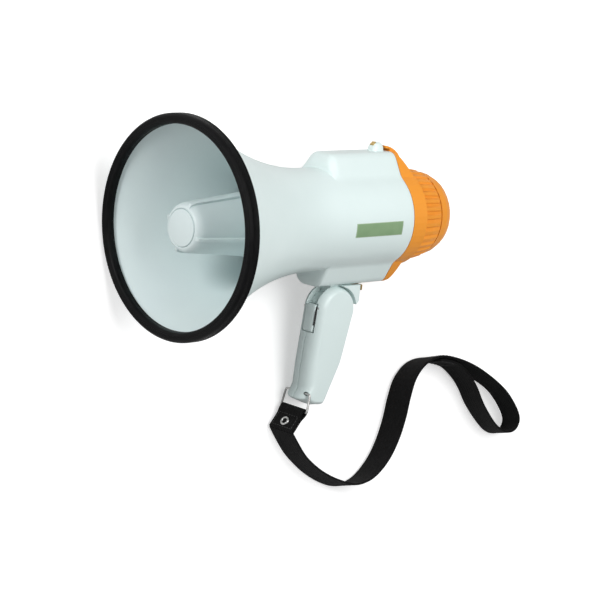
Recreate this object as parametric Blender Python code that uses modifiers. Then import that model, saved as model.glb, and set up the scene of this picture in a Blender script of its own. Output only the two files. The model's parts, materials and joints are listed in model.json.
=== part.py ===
"""Handheld megaphone with a folding handle, laid on its side with its wrist strap on the floor.

Every piece is modelled as the megaphone is held: the mouth's front plane at Y = 0, the horn axis
along +Y, +Z up and the label side at +X. A root empty then lays the whole object on its side.
"""

import math

import bmesh
import bpy
from mathutils import Matrix, Vector

MM = 0.001

# Clearances
GAP = 0.3 * MM
RUNNING_GAP = 0.4 * MM

# Bell and rubber rim
RIM_RADIUS = 78 * MM
RIM_WIDTH = 7.4 * MM
RIM_DEPTH = 8.6 * MM
RIM_COVER = 2.4 * MM
RIM_GROOVES = 3
RIM_GROOVE_DEPTH = 0.45 * MM
LIP_LENGTH = 6.5 * MM
BELL_END = 120 * MM
BELL_FLARE = 1.95
WALL = 2.2 * MM

# Body behind the bell
BODY_RADIUS = 37 * MM
SEAM = 197 * MM
BULKHEAD_FRONT = 112 * MM
BULKHEAD_THICKNESS = 3 * MM
LOBE_FRONT = 131 * MM
LOBE_REACH = 48 * MM
LOBE_TOP_HALF = 10.5 * MM
LOBE_BASE_HALF = 20 * MM
LOBE_BASE_LEVEL = 31 * MM
LOBE_CORNER = 8 * MM
BUMP_START = 180.5 * MM
BUMP_HEIGHT = 6.4 * MM
BUMP_HALF_WIDTH = 6 * MM

# Reflector and throat inside the bell
REFLECTOR_FRONT = 7 * MM
REFLECTOR_NOSE_RADIUS = 13 * MM
REFLECTOR_FRONT_RADIUS = 17 * MM
REFLECTOR_REAR_RADIUS = 25 * MM
REFLECTOR_REAR = 90 * MM
REFLECTOR_WALL = 1.8 * MM
REFLECTOR_CHAMFER = 4.5 * MM
RIDGE_COUNT = 4
RIDGE_FIRST_ANGLE = math.radians(-18)
RIDGE_HEIGHT = 1.5 * MM
RIDGE_HALF_WIDTH = 2.2 * MM
THROAT_BORE = 7.5 * MM
THROAT_WALL = 2 * MM
THROAT_FRONT = 24 * MM

# Driver stack behind the bulkhead
FLANGE_RADIUS = 16 * MM
FLANGE_THICKNESS = 2 * MM
DRIVER_RADIUS = 28 * MM
DRIVER_PLATE = 4 * MM
DIAPHRAGM_RADIUS = 25 * MM
DIAPHRAGM_THICKNESS = 0.6 * MM
MAGNET_HEIGHT = 12 * MM
MAGNET_BORE = 13 * MM
POLE_RADIUS = 11 * MM
YOKE_THICKNESS = 4 * MM

# Amplifier and cells
BOARD_START = 146 * MM
BOARD_LENGTH = 44 * MM
BOARD_THICKNESS = 1.6 * MM
SINK_START = 6 * MM
SINK_SIDE = 2 * MM
SINK_WIDTH = 16 * MM
SINK_DEPTH = 6 * MM
SINK_HEIGHT = 12 * MM
CAPACITORS = 3
CAPACITOR_START = 10 * MM
CAPACITOR_PITCH = 12 * MM
CAPACITOR_SIDE = 12 * MM
CAPACITOR_RADIUS = 4 * MM
CAPACITOR_HEIGHT = 11 * MM
CELL_RADIUS = 7.2 * MM
CELL_LENGTH = 50 * MM
CELL_NUB_RADIUS = 2.7 * MM
CELL_NUB_LENGTH = 1.5 * MM
CELL_REAR = 195.4 * MM
CELL_DEPTH = 15 * MM
TRAY_THICKNESS = 1.8 * MM
CONTACT_THICKNESS = 0.6 * MM
CONTACT_CONE = 2.4 * MM
CONE_BASE_RADIUS = 4.6 * MM
CONE_TIP_RADIUS = 3 * MM

# Rear cover, volume ring and microphone cap
COVER_LENGTH = 15 * MM
COVER_WALL = 5 * MM
COVER_STEP = 1 * MM
COVER_EDGE = 1.5 * MM
COVER_SLOPE = 1.35
HEEL_LENGTH = 9.5 * MM
HEEL_SLOPE = 2.8
RING_RADIUS = 34.6 * MM
RING_REAR_RADIUS = 32.2 * MM
RING_LENGTH = 19.5 * MM
RING_RIBS = 36
RING_RIB_DEPTH = 1.3 * MM
RING_BORE = 28.8 * MM
CAP_LENGTH = 20 * MM
CAP_SHOULDER_RADIUS = 31.4 * MM
CAP_END_RADIUS = 13 * MM
CAP_WALL = 2.2 * MM
CAP_SLOTS = 5
CAP_SLOT_WIDTH = 1.6 * MM
CAP_SLOT_PITCH = 3.6 * MM
MIC_RADIUS = 4.9 * MM
MIC_LENGTH = 5.5 * MM
BOOT_WALL = 2.4 * MM
POT_RADIUS = 8 * MM
POT_LENGTH = 8 * MM
POT_DROP = 15 * MM
LATCH_HALF_WIDTH = 5.5 * MM
LATCH_LENGTH = 8.5 * MM
LATCH_HEIGHT = 3.2 * MM
LATCH_ROOM = 2 * MM
LATCH_PROUD = 0.5 * MM
LATCH_PIN_SETBACK = 5.2 * MM
LATCH_PIN_DROP = 5 * MM
LATCH_PIN_RADIUS = 0.9 * MM

# Handle and its bracket
HANDLE_HALF = 11 * MM
GRIP_FOOT_HALF = 10.8 * MM
PIVOT_Y = 153.5 * MM
PIVOT_DROP = 18.8 * MM
HEAD_RADIUS = 18 * MM
WEB_HALF = 4.8 * MM
WEB_RADIUS = 13.5 * MM
NECK_FRONT = 3.5 * MM
PIVOT_PIN_RADIUS = 3 * MM
PIVOT_SKIN = 2.4 * MM
BRACKET_REAR = 174 * MM
BRACKET_DROP = 15 * MM
HANDLE_LENGTH = 70 * MM
HANDLE_LEAN = 14 * MM
GRIP_FRONT_TOP = 17.4 * MM
GRIP_BOTTOM_DEPTH = 19 * MM
GRIP_LIP = 4.5 * MM
GRIP_ROUNDING = 5.5 * MM
SHELL_WALL = 2.4 * MM
TRIGGER_HALF = 5 * MM
TRIGGER_TOP = 5 * MM
TRIGGER_LENGTH = 20 * MM
TRIGGER_PROUD = 1.2 * MM
TRIGGER_TRAVEL = 1.8 * MM
TRIGGER_PIN_RADIUS = 1 * MM
TRIGGER_PIN_DEPTH = 1.7 * MM
TRIGGER_PIN_DROP = 2.4 * MM
TRIGGER_HEEL = 1.5 * MM
SWITCH_DEPTH = 6 * MM
SWITCH_HEIGHT = 8 * MM
PLUNGER_RADIUS = 1 * MM
BUTTON_HALF = 8.4 * MM
BUTTON_HEIGHT = 4.6 * MM
BUTTON_PROUD = 5 * MM
BUTTON_BORE = 6 * MM

# Strap and its wire bail
BAIL_WIRE = 0.9 * MM
BAIL_HALF = 13.6 * MM
BAIL_DROP = 13.4 * MM
BAIL_SETBACK = 5.5 * MM
BAIL_RISE = 10.6 * MM
BAIL_TILT = math.radians(-12)
BAIL_END_DEPTH = 5 * MM
STRAP_WIDTH = 24 * MM
STRAP_THICKNESS = 1.6 * MM
FLAP_LENGTH = 17 * MM
FLAP_TILT = math.radians(-38)
EYELET_RADIUS = 3.6 * MM
EYELET_BORE = 2 * MM
EYELET_FLANGE = 0.7 * MM
EYELET_PLACE = 11 * MM
STRAP_TWIST_LENGTH = 70 * MM
STRAP_LEAN = math.radians(6.5)
STRAP_STEP = 7 * MM

# Strap route on the floor, in metres across and along the megaphone from below the mouth's centre
STRAP_ROUTE = (
    (0.163, 0.107), (0.172, 0.113), (0.181, 0.125), (0.1875, 0.139), (0.190, 0.153),
    (0.188, 0.165), (0.183, 0.175), (0.174, 0.186), (0.162, 0.196), (0.149, 0.204), (0.135, 0.210),
    (0.121, 0.218), (0.111, 0.230), (0.106, 0.244), (0.107, 0.258), (0.114, 0.273), (0.125, 0.289),
    (0.139, 0.302), (0.153, 0.310), (0.163, 0.312), (0.170, 0.307), (0.171, 0.299), (0.166, 0.291),
    (0.156, 0.284), (0.143, 0.278), (0.131, 0.271), (0.121, 0.261), (0.1145, 0.250), (0.1125, 0.242),
)

CORD_PARTS = ("strap_end", "strap_eyelet", "strap_band")

# Facets
BELL_STEPS = 48
TUBE_STEPS = 28
ARC_STEPS = 5

# Sizes that follow from the ones above
RIM_INNER_RADIUS = RIM_RADIUS - RIM_WIDTH
LIP_RADIUS = RIM_RADIUS - RIM_COVER - GAP
LIP_FRONT = RIM_COVER + GAP
BULKHEAD_REAR = BULKHEAD_FRONT + BULKHEAD_THICKNESS
BODY_BORE = BODY_RADIUS - WALL
CELL_LEVEL = LOBE_REACH - CELL_DEPTH
PIVOT_Z = -LOBE_REACH - PIVOT_DROP
COVER_FRONT = SEAM + GAP
COVER_REAR = SEAM + COVER_LENGTH
RING_FRONT = COVER_REAR + RUNNING_GAP
RING_REAR = RING_FRONT + RING_LENGTH
CAP_FRONT = RING_REAR + RUNNING_GAP
CAP_REAR = CAP_FRONT + CAP_LENGTH
SKIRT_RADIUS = RING_BORE - RUNNING_GAP
HANDLE_BOTTOM = PIVOT_Z - HANDLE_LENGTH
GRIP_FRONT_BOTTOM = PIVOT_Y - HANDLE_LEAN - GRIP_BOTTOM_DEPTH / 2
GRIP_REAR_BOTTOM = GRIP_FRONT_BOTTOM + GRIP_BOTTOM_DEPTH
BAIL_Y = GRIP_FRONT_BOTTOM + BAIL_SETBACK - GRIP_LIP
BAIL_Z = HANDLE_BOTTOM + BAIL_RISE
BAR_Y = BAIL_Y + BAIL_DROP * math.sin(BAIL_TILT)
BAR_Z = BAIL_Z - BAIL_DROP * math.cos(BAIL_TILT)
TRIGGER_PIN_Y = PIVOT_Y - GRIP_FRONT_TOP + TRIGGER_PIN_DEPTH
TRIGGER_BACK = TRIGGER_PIN_Y + TRIGGER_HEEL
TRIGGER_PIN_Z = PIVOT_Z + TRIGGER_TOP - TRIGGER_PIN_DROP
LATCH_PIN_Y = COVER_FRONT + LATCH_PIN_SETBACK
LATCH_PIN_Z = LOBE_REACH - LATCH_PIN_DROP

# Surface looks: colour, roughness, metallic
WHITE = ("white_plastic", (0.75, 0.84, 0.82), 0.32, 0.0)
ORANGE = ("orange_plastic", (0.91, 0.33, 0.03), 0.35, 0.0)
RUBBER = ("black_rubber", (0.012, 0.012, 0.013), 0.6, 0.0)
WEBBING = ("black_webbing", (0.015, 0.015, 0.016), 0.85, 0.0)
STEEL = ("steel", (0.55, 0.55, 0.54), 0.28, 1.0)
BRASS = ("brass", (0.55, 0.4, 0.16), 0.35, 1.0)
FERRITE = ("ferrite", (0.06, 0.06, 0.065), 0.55, 0.2)
DIAPHRAGM_FILM = ("diaphragm_film", (0.5, 0.32, 0.12), 0.4, 0.0)
GREEN_BOARD = ("green_board", (0.03, 0.16, 0.06), 0.5, 0.0)
CELL_JACKET = ("cell_jacket", (0.05, 0.05, 0.06), 0.4, 0.3)
BLACK_PLASTIC = ("black_plastic", (0.02, 0.02, 0.022), 0.45, 0.0)


def clear_scene():
    for old in list(bpy.data.objects):
        bpy.data.objects.remove(old, do_unlink=True)
    for old in list(bpy.data.collections):
        bpy.data.collections.remove(old)


def new_collection(name):
    collection = bpy.data.collections.new(name)
    bpy.context.scene.collection.children.link(collection)
    return collection


clear_scene()
PARTS = new_collection("handheld_megaphone")
CUTTERS = new_collection("cutters")


def look(kind):
    name, colour, roughness, metallic = kind
    found = bpy.data.materials.get(name)
    if found:
        return found
    made = bpy.data.materials.new(name)
    made.use_nodes = True
    shader = made.node_tree.nodes["Principled BSDF"]
    shader.inputs["Base Color"].default_value = (*colour, 1.0)
    shader.inputs["Roughness"].default_value = roughness
    shader.inputs["Metallic"].default_value = metallic
    return made


def axis_empty(name, parent=None, location=(0, 0, 0)):
    """An empty on a joint's axis, at a place in the as-held frame."""
    empty = bpy.data.objects.new(name, None)
    empty.empty_display_size = 10 * MM
    PARTS.objects.link(empty)
    empty.location = location
    if parent:
        empty.parent = parent
        empty.matrix_parent_inverse = Matrix.Translation(parent.get("held", Vector())).inverted()
    empty["held"] = Vector(location)
    return empty


ROOT = axis_empty("laid_down")
HANDLE = axis_empty("handle_axis", ROOT, (0, PIVOT_Y, PIVOT_Z))
TRIGGER = axis_empty("trigger_axis", HANDLE, (0, TRIGGER_PIN_Y, TRIGGER_PIN_Z))
BAIL = axis_empty("bail_axis", HANDLE, (0, BAIL_Y, BAIL_Z))
COVER = axis_empty("rear_cover_axis", ROOT, (0, SEAM, 0))
RING = axis_empty("volume_axis", COVER, (0, RING_FRONT, 0))
LATCH = axis_empty("latch_axis", COVER, (0, LATCH_PIN_Y, LATCH_PIN_Z))
BUTTON = axis_empty("fold_button_axis", ROOT, (0, BRACKET_REAR, -LOBE_REACH))


def add(name, mesh, kind=None, parent=ROOT):
    """Links a mesh made in as-held coordinates: a part when it has a look, else a cutter."""
    made = bpy.data.objects.new(name, mesh)
    (PARTS if kind else CUTTERS).objects.link(made)
    made.parent = parent
    made.matrix_parent_inverse = Matrix.Translation(Vector(parent["held"])).inverted()
    if kind:
        mesh.materials.append(look(kind))
        mesh.shade_smooth()
        mesh.set_sharp_from_angle(angle=math.radians(32))
    else:
        made.hide_render = True
        made.display_type = "WIRE"
    return made


def boolean(target, other, operation="DIFFERENCE", solver="EXACT"):
    modifier = target.modifiers.new(operation.lower(), "BOOLEAN")
    modifier.operation = operation
    modifier.object = other
    modifier.solver = solver
    return target


def bevelled(target, width, segments=2):
    modifier = target.modifiers.new("rounded_edges", "BEVEL")
    modifier.width = width
    modifier.segments = segments
    modifier.limit_method = "ANGLE"
    modifier.angle_limit = math.radians(40)
    return target


def arc(centre, radius, start, end, steps=ARC_STEPS):
    """Points of an arc in a plane, from one angle to another in degrees."""
    angles = [math.radians(start + (end - start) * i / steps) for i in range(steps + 1)]
    return [(centre[0] + radius * math.cos(a), centre[1] + radius * math.sin(a)) for a in angles]


def filleted(corners, steps=3):
    """A closed outline from (u, v, radius) corners, each rounded by its own radius."""
    points = []
    for i, (u, v, radius) in enumerate(corners):
        here = Vector((u, v))
        back = (Vector(corners[i - 1][:2]) - here).normalized()
        ahead = (Vector(corners[(i + 1) % len(corners)][:2]) - here).normalized()
        if radius <= 0:
            points.append((u, v))
            continue
        half = back.angle(ahead) / 2
        centre = here + (back + ahead).normalized() * (radius / math.sin(half))
        start = here + back * (radius / math.tan(half)) - centre
        sweep = start.angle_signed(here + ahead * (radius / math.tan(half)) - centre)
        for k in range(steps + 1):
            turn = Matrix.Rotation(-sweep * k / steps, 2)
            points.append(tuple(centre + turn @ start))
    return points


def turned(name, profile, kind=None, parent=ROOT, steps=TUBE_STEPS):
    """A solid turned about the horn axis from (radius, distance along the axis) points."""
    area = sum(a[0] * b[1] - b[0] * a[1] for a, b in zip(profile, profile[1:] + profile[:1]))
    points = profile if area < 0 else profile[::-1]
    closed = min(r for r, _ in points) > 0
    while not closed and not (points[0][0] == 0 and points[-1][0] == 0):
        points = points[1:] + points[:1]
    mesh = bpy.data.meshes.new(name)
    edges = [(i, i + 1) for i in range(len(points) - 1)]
    if closed:
        edges.append((len(points) - 1, 0))
    mesh.from_pydata([(r, y, 0) for r, y in points], edges, [])
    made = add(name, mesh, kind, parent)
    screw = made.modifiers.new("turned", "SCREW")
    screw.axis = "Y"
    screw.steps = steps
    screw.render_steps = steps
    screw.use_merge_vertices = True
    screw.merge_threshold = 1e-6
    screw.use_smooth_shade = True
    return made


def prism(name, outline, axis, low, high, kind=None, parent=ROOT):
    """A flat outline, thickened along an axis. Along X it holds (y, z), along Y (x, z)."""
    curve = bpy.data.curves.new(name, "CURVE")
    curve.dimensions = "2D"
    curve.fill_mode = "BOTH"
    curve.extrude = (high - low) / 2
    spline = curve.splines.new("POLY")
    spline.points.add(len(outline) - 1)
    for point, (u, v) in zip(spline.points, outline):
        point.co = (u, v, 0, 1)
    spline.use_cyclic_u = True
    guide = bpy.data.objects.new(name + "_outline", curve)
    CUTTERS.objects.link(guide)
    bpy.context.view_layer.update()
    mesh = bpy.data.meshes.new_from_object(guide.evaluated_get(bpy.context.evaluated_depsgraph_get()))
    bpy.data.objects.remove(guide)
    middle = (high + low) / 2
    if axis == "X":
        turn = Matrix(((0, 0, 1, middle), (1, 0, 0, 0), (0, 1, 0, 0), (0, 0, 0, 1)))
    else:
        turn = Matrix(((1, 0, 0, 0), (0, 0, -1, middle), (0, 1, 0, 0), (0, 0, 0, 1)))
    mesh.transform(turn)
    work = bmesh.new()
    work.from_mesh(mesh)
    bmesh.ops.remove_doubles(work, verts=work.verts, dist=1e-6)
    bmesh.ops.dissolve_limit(work, angle_limit=0.002, verts=work.verts, edges=work.edges)
    bmesh.ops.recalc_face_normals(work, faces=work.faces)
    work.to_mesh(mesh)
    work.free()
    mesh.materials.clear()
    return add(name, mesh, kind, parent)


def box(name, low, high, kind=None, parent=ROOT):
    mesh = bpy.data.meshes.new(name)
    work = bmesh.new()
    size = Vector(high) - Vector(low)
    middle = (Vector(high) + Vector(low)) / 2
    bmesh.ops.create_cube(work, size=1, matrix=Matrix.Translation(middle) @ Matrix.Diagonal((*size, 1)))
    work.to_mesh(mesh)
    work.free()
    return add(name, mesh, kind, parent)


def rod(name, radius, start, end, kind=None, parent=ROOT, steps=16, end_radius=None):
    """A round bar or cone between two points."""
    along = Vector(end) - Vector(start)
    turn = Vector((0, 0, 1)).rotation_difference(along).to_matrix().to_4x4()
    place = Matrix.Translation((Vector(start) + Vector(end)) / 2) @ turn
    mesh = bpy.data.meshes.new(name)
    work = bmesh.new()
    bmesh.ops.create_cone(
        work,
        cap_ends=True,
        segments=steps,
        radius1=radius,
        radius2=radius if end_radius is None else end_radius,
        depth=along.length,
        matrix=place,
    )
    work.to_mesh(mesh)
    work.free()
    return add(name, mesh, kind, parent)


def wire(name, points, radius, kind, parent):
    """A bent wire: a curve with a round bevel and filled caps."""
    curve = bpy.data.curves.new(name, "CURVE")
    curve.dimensions = "3D"
    curve.bevel_depth = radius
    curve.bevel_resolution = 2
    curve.use_fill_caps = True
    spline = curve.splines.new("POLY")
    spline.points.add(len(points) - 1)
    for point, co in zip(spline.points, points):
        point.co = (*co, 1)
    curve.materials.append(look(kind))
    made = bpy.data.objects.new(name, curve)
    PARTS.objects.link(made)
    made.parent = parent
    made.matrix_parent_inverse = Matrix.Translation(Vector(parent["held"])).inverted()
    return made


def bell_radius(y):
    """Outer radius of the flared bell at a distance behind the mouth."""
    share = min(max((y - LIP_LENGTH) / (BELL_END - LIP_LENGTH), 0), 1)
    return BODY_RADIUS + (LIP_RADIUS - BODY_RADIUS) * (1 - share) ** BELL_FLARE


def bell_stations(end, count=9):
    """Distances along the bell, closer together near the mouth."""
    return [LIP_LENGTH + (end - LIP_LENGTH) * (i / count) ** 1.3 for i in range(count + 1)]


def lobe_outline(sign, inset=0.0):
    """Section (x, z) of the moulded ridge along the top or bottom of the body."""
    slope = math.atan2(LOBE_BASE_HALF - LOBE_TOP_HALF, LOBE_REACH - LOBE_BASE_LEVEL)
    side = inset / math.cos(slope)
    top = LOBE_REACH - inset
    half_top = LOBE_TOP_HALF + inset * math.tan(slope) - side
    base = LOBE_BASE_LEVEL - 14 * MM
    half_base = half_top + (top - base) * math.tan(slope)
    corners = [
        (-half_base, base, 0),
        (half_base, base, 0),
        (half_top, top, max(LOBE_CORNER - inset, 0.8 * MM)),
        (-half_top, top, max(LOBE_CORNER - inset, 0.8 * MM)),
    ]
    points = filleted(corners)
    return points if sign > 0 else [(x, -z) for x, z in reversed(points)]


def make_horn_body():
    stations = bell_stations(BELL_END)
    outside = [(0, LIP_FRONT), (LIP_RADIUS, LIP_FRONT)]
    outside += [(bell_radius(y), y) for y in stations] + [(BODY_RADIUS, SEAM + WALL), (0, SEAM + WALL)]
    horn = turned("horn_body", outside, WHITE, steps=BELL_STEPS)
    for sign, side in ((1, "top"), (-1, "bottom")):
        lobe = prism(f"lobe_{side}", lobe_outline(sign), "Y", LOBE_FRONT, SEAM + 2 * WALL)
        boolean(horn, lobe, "UNION")
    bump_low = LOBE_REACH - 2 * MM
    bump = prism(
        "latch_bump",
        filleted([
            (BUMP_START, bump_low, 0),
            (SEAM + 3 * WALL, bump_low, 0),
            (SEAM + 3 * WALL, LOBE_REACH + BUMP_HEIGHT * 0.6, 0),
            (BUMP_START + 10 * MM, LOBE_REACH + BUMP_HEIGHT, 4 * MM),
            (BUMP_START + 3.6 * MM, LOBE_REACH + BUMP_HEIGHT * 0.75, 2.4 * MM),
        ]),
        "X",
        -BUMP_HALF_WIDTH,
        BUMP_HALF_WIDTH,
    )
    boolean(horn, bump, "UNION")
    stations = bell_stations(BULKHEAD_FRONT)
    hollow = [(0, -WALL), (LIP_RADIUS - WALL, -WALL)]
    hollow += [(bell_radius(y) - WALL, y) for y in stations] + [(0, BULKHEAD_FRONT)]
    boolean(horn, turned("bell_hollow", hollow, steps=BELL_STEPS))
    far = SEAM + 5 * WALL
    rear = [(0, BULKHEAD_REAR), (BODY_BORE, BULKHEAD_REAR), (BODY_BORE, far), (0, far)]
    body_hollow = turned("body_hollow", rear, steps=BELL_STEPS)
    for sign, side in ((1, "top"), (-1, "bottom")):
        outline = lobe_outline(sign, WALL)
        room = prism(f"lobe_hollow_{side}", outline, "Y", LOBE_FRONT + WALL, far + WALL)
        boolean(body_hollow, room, "UNION")
    boolean(horn, body_hollow)
    trim = 2 * LOBE_REACH
    behind = box("seam_trim", (-trim, SEAM, -trim), (trim, far + 2 * WALL, trim))
    boolean(horn, behind, solver="MANIFOLD")
    throat = THROAT_BORE + THROAT_WALL + GAP
    hole = [(0, BULKHEAD_FRONT - WALL), (throat, BULKHEAD_FRONT - WALL)]
    hole += [(throat, BULKHEAD_REAR + WALL), (0, BULKHEAD_REAR + WALL)]
    boolean(horn, turned("throat_hole", hole), solver="MANIFOLD")


def make_rim_bumper():
    inner_leg = LIP_RADIUS - WALL - GAP
    section = [(RIM_INNER_RADIUS, RIM_COVER + 3.6 * MM), (RIM_INNER_RADIUS, RIM_COVER)]
    section += [(RIM_INNER_RADIUS + 0.7 * MM, 0.9 * MM), (RIM_INNER_RADIUS + 2.2 * MM, 0)]
    section += [(RIM_RADIUS - 2.2 * MM, 0), (RIM_RADIUS - 0.6 * MM, 0.8 * MM)]
    pitch = (RIM_DEPTH - RIM_COVER) / RIM_GROOVES
    for i in range(RIM_GROOVES):
        start = RIM_COVER + i * pitch
        section += [(RIM_RADIUS, start), (RIM_RADIUS, start + pitch * 0.55)]
        section += [(RIM_RADIUS - RIM_GROOVE_DEPTH, start + pitch * 0.8)]
    section += [(RIM_RADIUS - 0.7 * MM, RIM_DEPTH), (LIP_RADIUS + GAP, RIM_DEPTH)]
    section += [(LIP_RADIUS + GAP, RIM_COVER), (inner_leg, RIM_COVER), (inner_leg, RIM_COVER + 3.6 * MM)]
    turned("rim_bumper", section, RUBBER, steps=BELL_STEPS)


def reflector_radius(y):
    share = (y - REFLECTOR_FRONT) / (REFLECTOR_REAR - REFLECTOR_FRONT)
    return REFLECTOR_FRONT_RADIUS + (REFLECTOR_REAR_RADIUS - REFLECTOR_FRONT_RADIUS) * share


def make_reflector():
    front = REFLECTOR_FRONT + REFLECTOR_CHAMFER + GAP
    stations = [front + (REFLECTOR_REAR - front) * i / 4 for i in range(5)]
    section = [(reflector_radius(y), y) for y in stations]
    section += [(reflector_radius(y) - REFLECTOR_WALL, y) for y in reversed(stations)]
    tube = turned("reflector_tube", section, WHITE)
    foot = BULKHEAD_FRONT - GAP
    rear_top = REFLECTOR_REAR_RADIUS + RIDGE_HEIGHT
    half_wall = REFLECTOR_WALL / 2
    ridge = [
        (front, reflector_radius(front) - half_wall),
        (REFLECTOR_REAR - 4 * MM, REFLECTOR_REAR_RADIUS - half_wall),
        (REFLECTOR_REAR + 4 * MM, REFLECTOR_REAR_RADIUS - 5 * MM),
        (foot, REFLECTOR_REAR_RADIUS - 5 * MM),
        (foot, rear_top),
        (REFLECTOR_REAR, rear_top),
        (front + RIDGE_HEIGHT, reflector_radius(front) + RIDGE_HEIGHT),
        (front, reflector_radius(front) + RIDGE_HEIGHT * 0.4),
    ]
    for i in range(RIDGE_COUNT):
        fin = prism(f"reflector_ridge_{i + 1}", ridge, "X", -RIDGE_HALF_WIDTH, RIDGE_HALF_WIDTH)
        angle = RIDGE_FIRST_ANGLE + i * math.tau / RIDGE_COUNT
        fin.data.transform(Matrix.Rotation(math.pi / 2 - angle, 4, "Y"))
        boolean(tube, fin, "UNION")
    plug = reflector_radius(front) - REFLECTOR_WALL - GAP
    rim = reflector_radius(REFLECTOR_FRONT) - 0.3 * MM
    shoulder = REFLECTOR_FRONT + REFLECTOR_CHAMFER
    nose = [(0, REFLECTOR_FRONT), (REFLECTOR_NOSE_RADIUS, REFLECTOR_FRONT)]
    bulge = (REFLECTOR_NOSE_RADIUS + rim) / 2 + 0.5 * MM
    nose += [(bulge, REFLECTOR_FRONT + REFLECTOR_CHAMFER * 0.4), (rim, shoulder), (plug, shoulder)]
    nose += [(plug, shoulder + 4 * MM), (0, shoulder + 4 * MM)]
    turned("reflector_cap", nose, WHITE)


def make_throat_tube():
    outer = THROAT_BORE + THROAT_WALL
    flange_front = BULKHEAD_REAR + GAP
    section = [(THROAT_BORE, THROAT_FRONT), (outer - 0.8 * MM, THROAT_FRONT), (outer, BULKHEAD_FRONT)]
    section += [(outer, flange_front), (FLANGE_RADIUS, flange_front)]
    flange_rear = flange_front + FLANGE_THICKNESS
    section += [(FLANGE_RADIUS, flange_rear), (THROAT_BORE, flange_rear)]
    turned("throat_tube", section, BLACK_PLASTIC)


def make_driver():
    front = BULKHEAD_REAR + FLANGE_THICKNESS + 2 * GAP
    plate_rear = front + DRIVER_PLATE
    plate = [(THROAT_BORE, front), (DRIVER_RADIUS, front)]
    plate += [(DRIVER_RADIUS, plate_rear), (THROAT_BORE, plate_rear)]
    turned("driver_front_plate", plate, STEEL)
    film = plate_rear + GAP
    film_rear = film + DIAPHRAGM_THICKNESS
    disc = [(0, film), (DIAPHRAGM_RADIUS, film), (DIAPHRAGM_RADIUS, film_rear), (0, film_rear)]
    turned("driver_diaphragm", disc, DIAPHRAGM_FILM)
    magnet = film_rear + GAP
    magnet_rear = magnet + MAGNET_HEIGHT
    outer = DRIVER_RADIUS - 1 * MM
    ring = [(MAGNET_BORE, magnet), (outer, magnet), (outer, magnet_rear), (MAGNET_BORE, magnet_rear)]
    turned("driver_magnet", ring, FERRITE)
    yoke = magnet_rear + GAP
    yoke_rear = yoke + YOKE_THICKNESS
    yoke_section = [(0, magnet + GAP), (POLE_RADIUS, magnet + GAP), (POLE_RADIUS, yoke)]
    yoke_section += [(DIAPHRAGM_RADIUS, yoke), (DIAPHRAGM_RADIUS, yoke_rear), (0, yoke_rear)]
    turned("driver_yoke", yoke_section, STEEL)


def make_amplifier():
    half = BODY_BORE - RUNNING_GAP
    low = -BOARD_THICKNESS / 2
    end = BOARD_START + BOARD_LENGTH
    width = math.sqrt(half * half - BOARD_THICKNESS * BOARD_THICKNESS)
    board = box("amplifier_board", (-width, BOARD_START, low), (width, end, -low), GREEN_BOARD)
    top = -low - 0.2 * MM
    sink_low = (-SINK_WIDTH - SINK_SIDE, BOARD_START + SINK_START, top)
    sink_high = (-SINK_SIDE, BOARD_START + SINK_START + SINK_DEPTH, top + SINK_HEIGHT)
    boolean(board, box("heat_sink", sink_low, sink_high), "UNION")
    for i in range(CAPACITORS):
        y = BOARD_START + CAPACITOR_START + CAPACITOR_PITCH * i
        foot = (CAPACITOR_SIDE, y, top)
        tip = (CAPACITOR_SIDE, y, top + CAPACITOR_HEIGHT)
        boolean(board, rod(f"capacitor_{i + 1}", CAPACITOR_RADIUS, foot, tip, steps=12), "UNION")


def make_cells():
    pitch = CELL_RADIUS + 0.4 * MM
    front = CELL_REAR - CELL_LENGTH
    body_rear = CELL_REAR - CELL_NUB_LENGTH
    wall_rear = front - CONTACT_CONE - CONTACT_THICKNESS - 2 * GAP
    tray_top = CELL_LEVEL - CELL_RADIUS - GAP
    tray_half = math.sqrt(BODY_BORE**2 - tray_top**2) - RUNNING_GAP
    for sign, side in ((1, "top"), (-1, "bottom")):
        level = sign * CELL_LEVEL
        floor = sorted((sign * tray_top, sign * (tray_top - TRAY_THICKNESS)))
        tray = box(
            f"battery_tray_{side}",
            (-tray_half, wall_rear - TRAY_THICKNESS, floor[0]),
            (tray_half, SEAM - 2 * MM, floor[1]),
            BLACK_PLASTIC,
        )
        wall = sorted((sign * (tray_top - TRAY_THICKNESS), sign * (CELL_LEVEL + CELL_RADIUS - 2 * MM)))
        half = pitch + CELL_RADIUS - 2 * MM
        wall_low = (-half, wall_rear - TRAY_THICKNESS, wall[0])
        stop = box(f"tray_wall_{side}", wall_low, (half, wall_rear, wall[1]))
        boolean(tray, stop, "UNION")
        plate = wall_rear + GAP
        low = sorted((sign * (tray_top + GAP), sign * (CELL_LEVEL + CELL_RADIUS - 3 * MM)))
        contact = box(
            f"front_contact_{side}",
            (-half, plate, low[0]),
            (half, plate + CONTACT_THICKNESS, low[1]),
            STEEL,
        )
        for i, x in ((1, -pitch), (2, pitch)):
            spring = rod(
                f"contact_cone_{side}_{i}",
                CONE_BASE_RADIUS,
                (x, plate + CONTACT_THICKNESS / 2, level),
                (x, front - GAP, level),
                end_radius=CONE_TIP_RADIUS,
                steps=12,
            )
            boolean(contact, spring, "UNION")
            cell_ends = ((x, front, level), (x, body_rear, level))
            cell = rod(f"cell_{side}_{i}", CELL_RADIUS, *cell_ends, CELL_JACKET, steps=20)
            nub_ends = ((x, body_rear - MM, level), (x, CELL_REAR, level))
            boolean(cell, rod(f"cell_nub_{side}_{i}", CELL_NUB_RADIUS, *nub_ends), "UNION")
        rear = CELL_REAR + GAP
        box(
            f"rear_contact_{side}",
            (-half, rear, low[0]),
            (half, rear + CONTACT_THICKNESS, low[1]),
            STEEL,
            COVER,
        )


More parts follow.
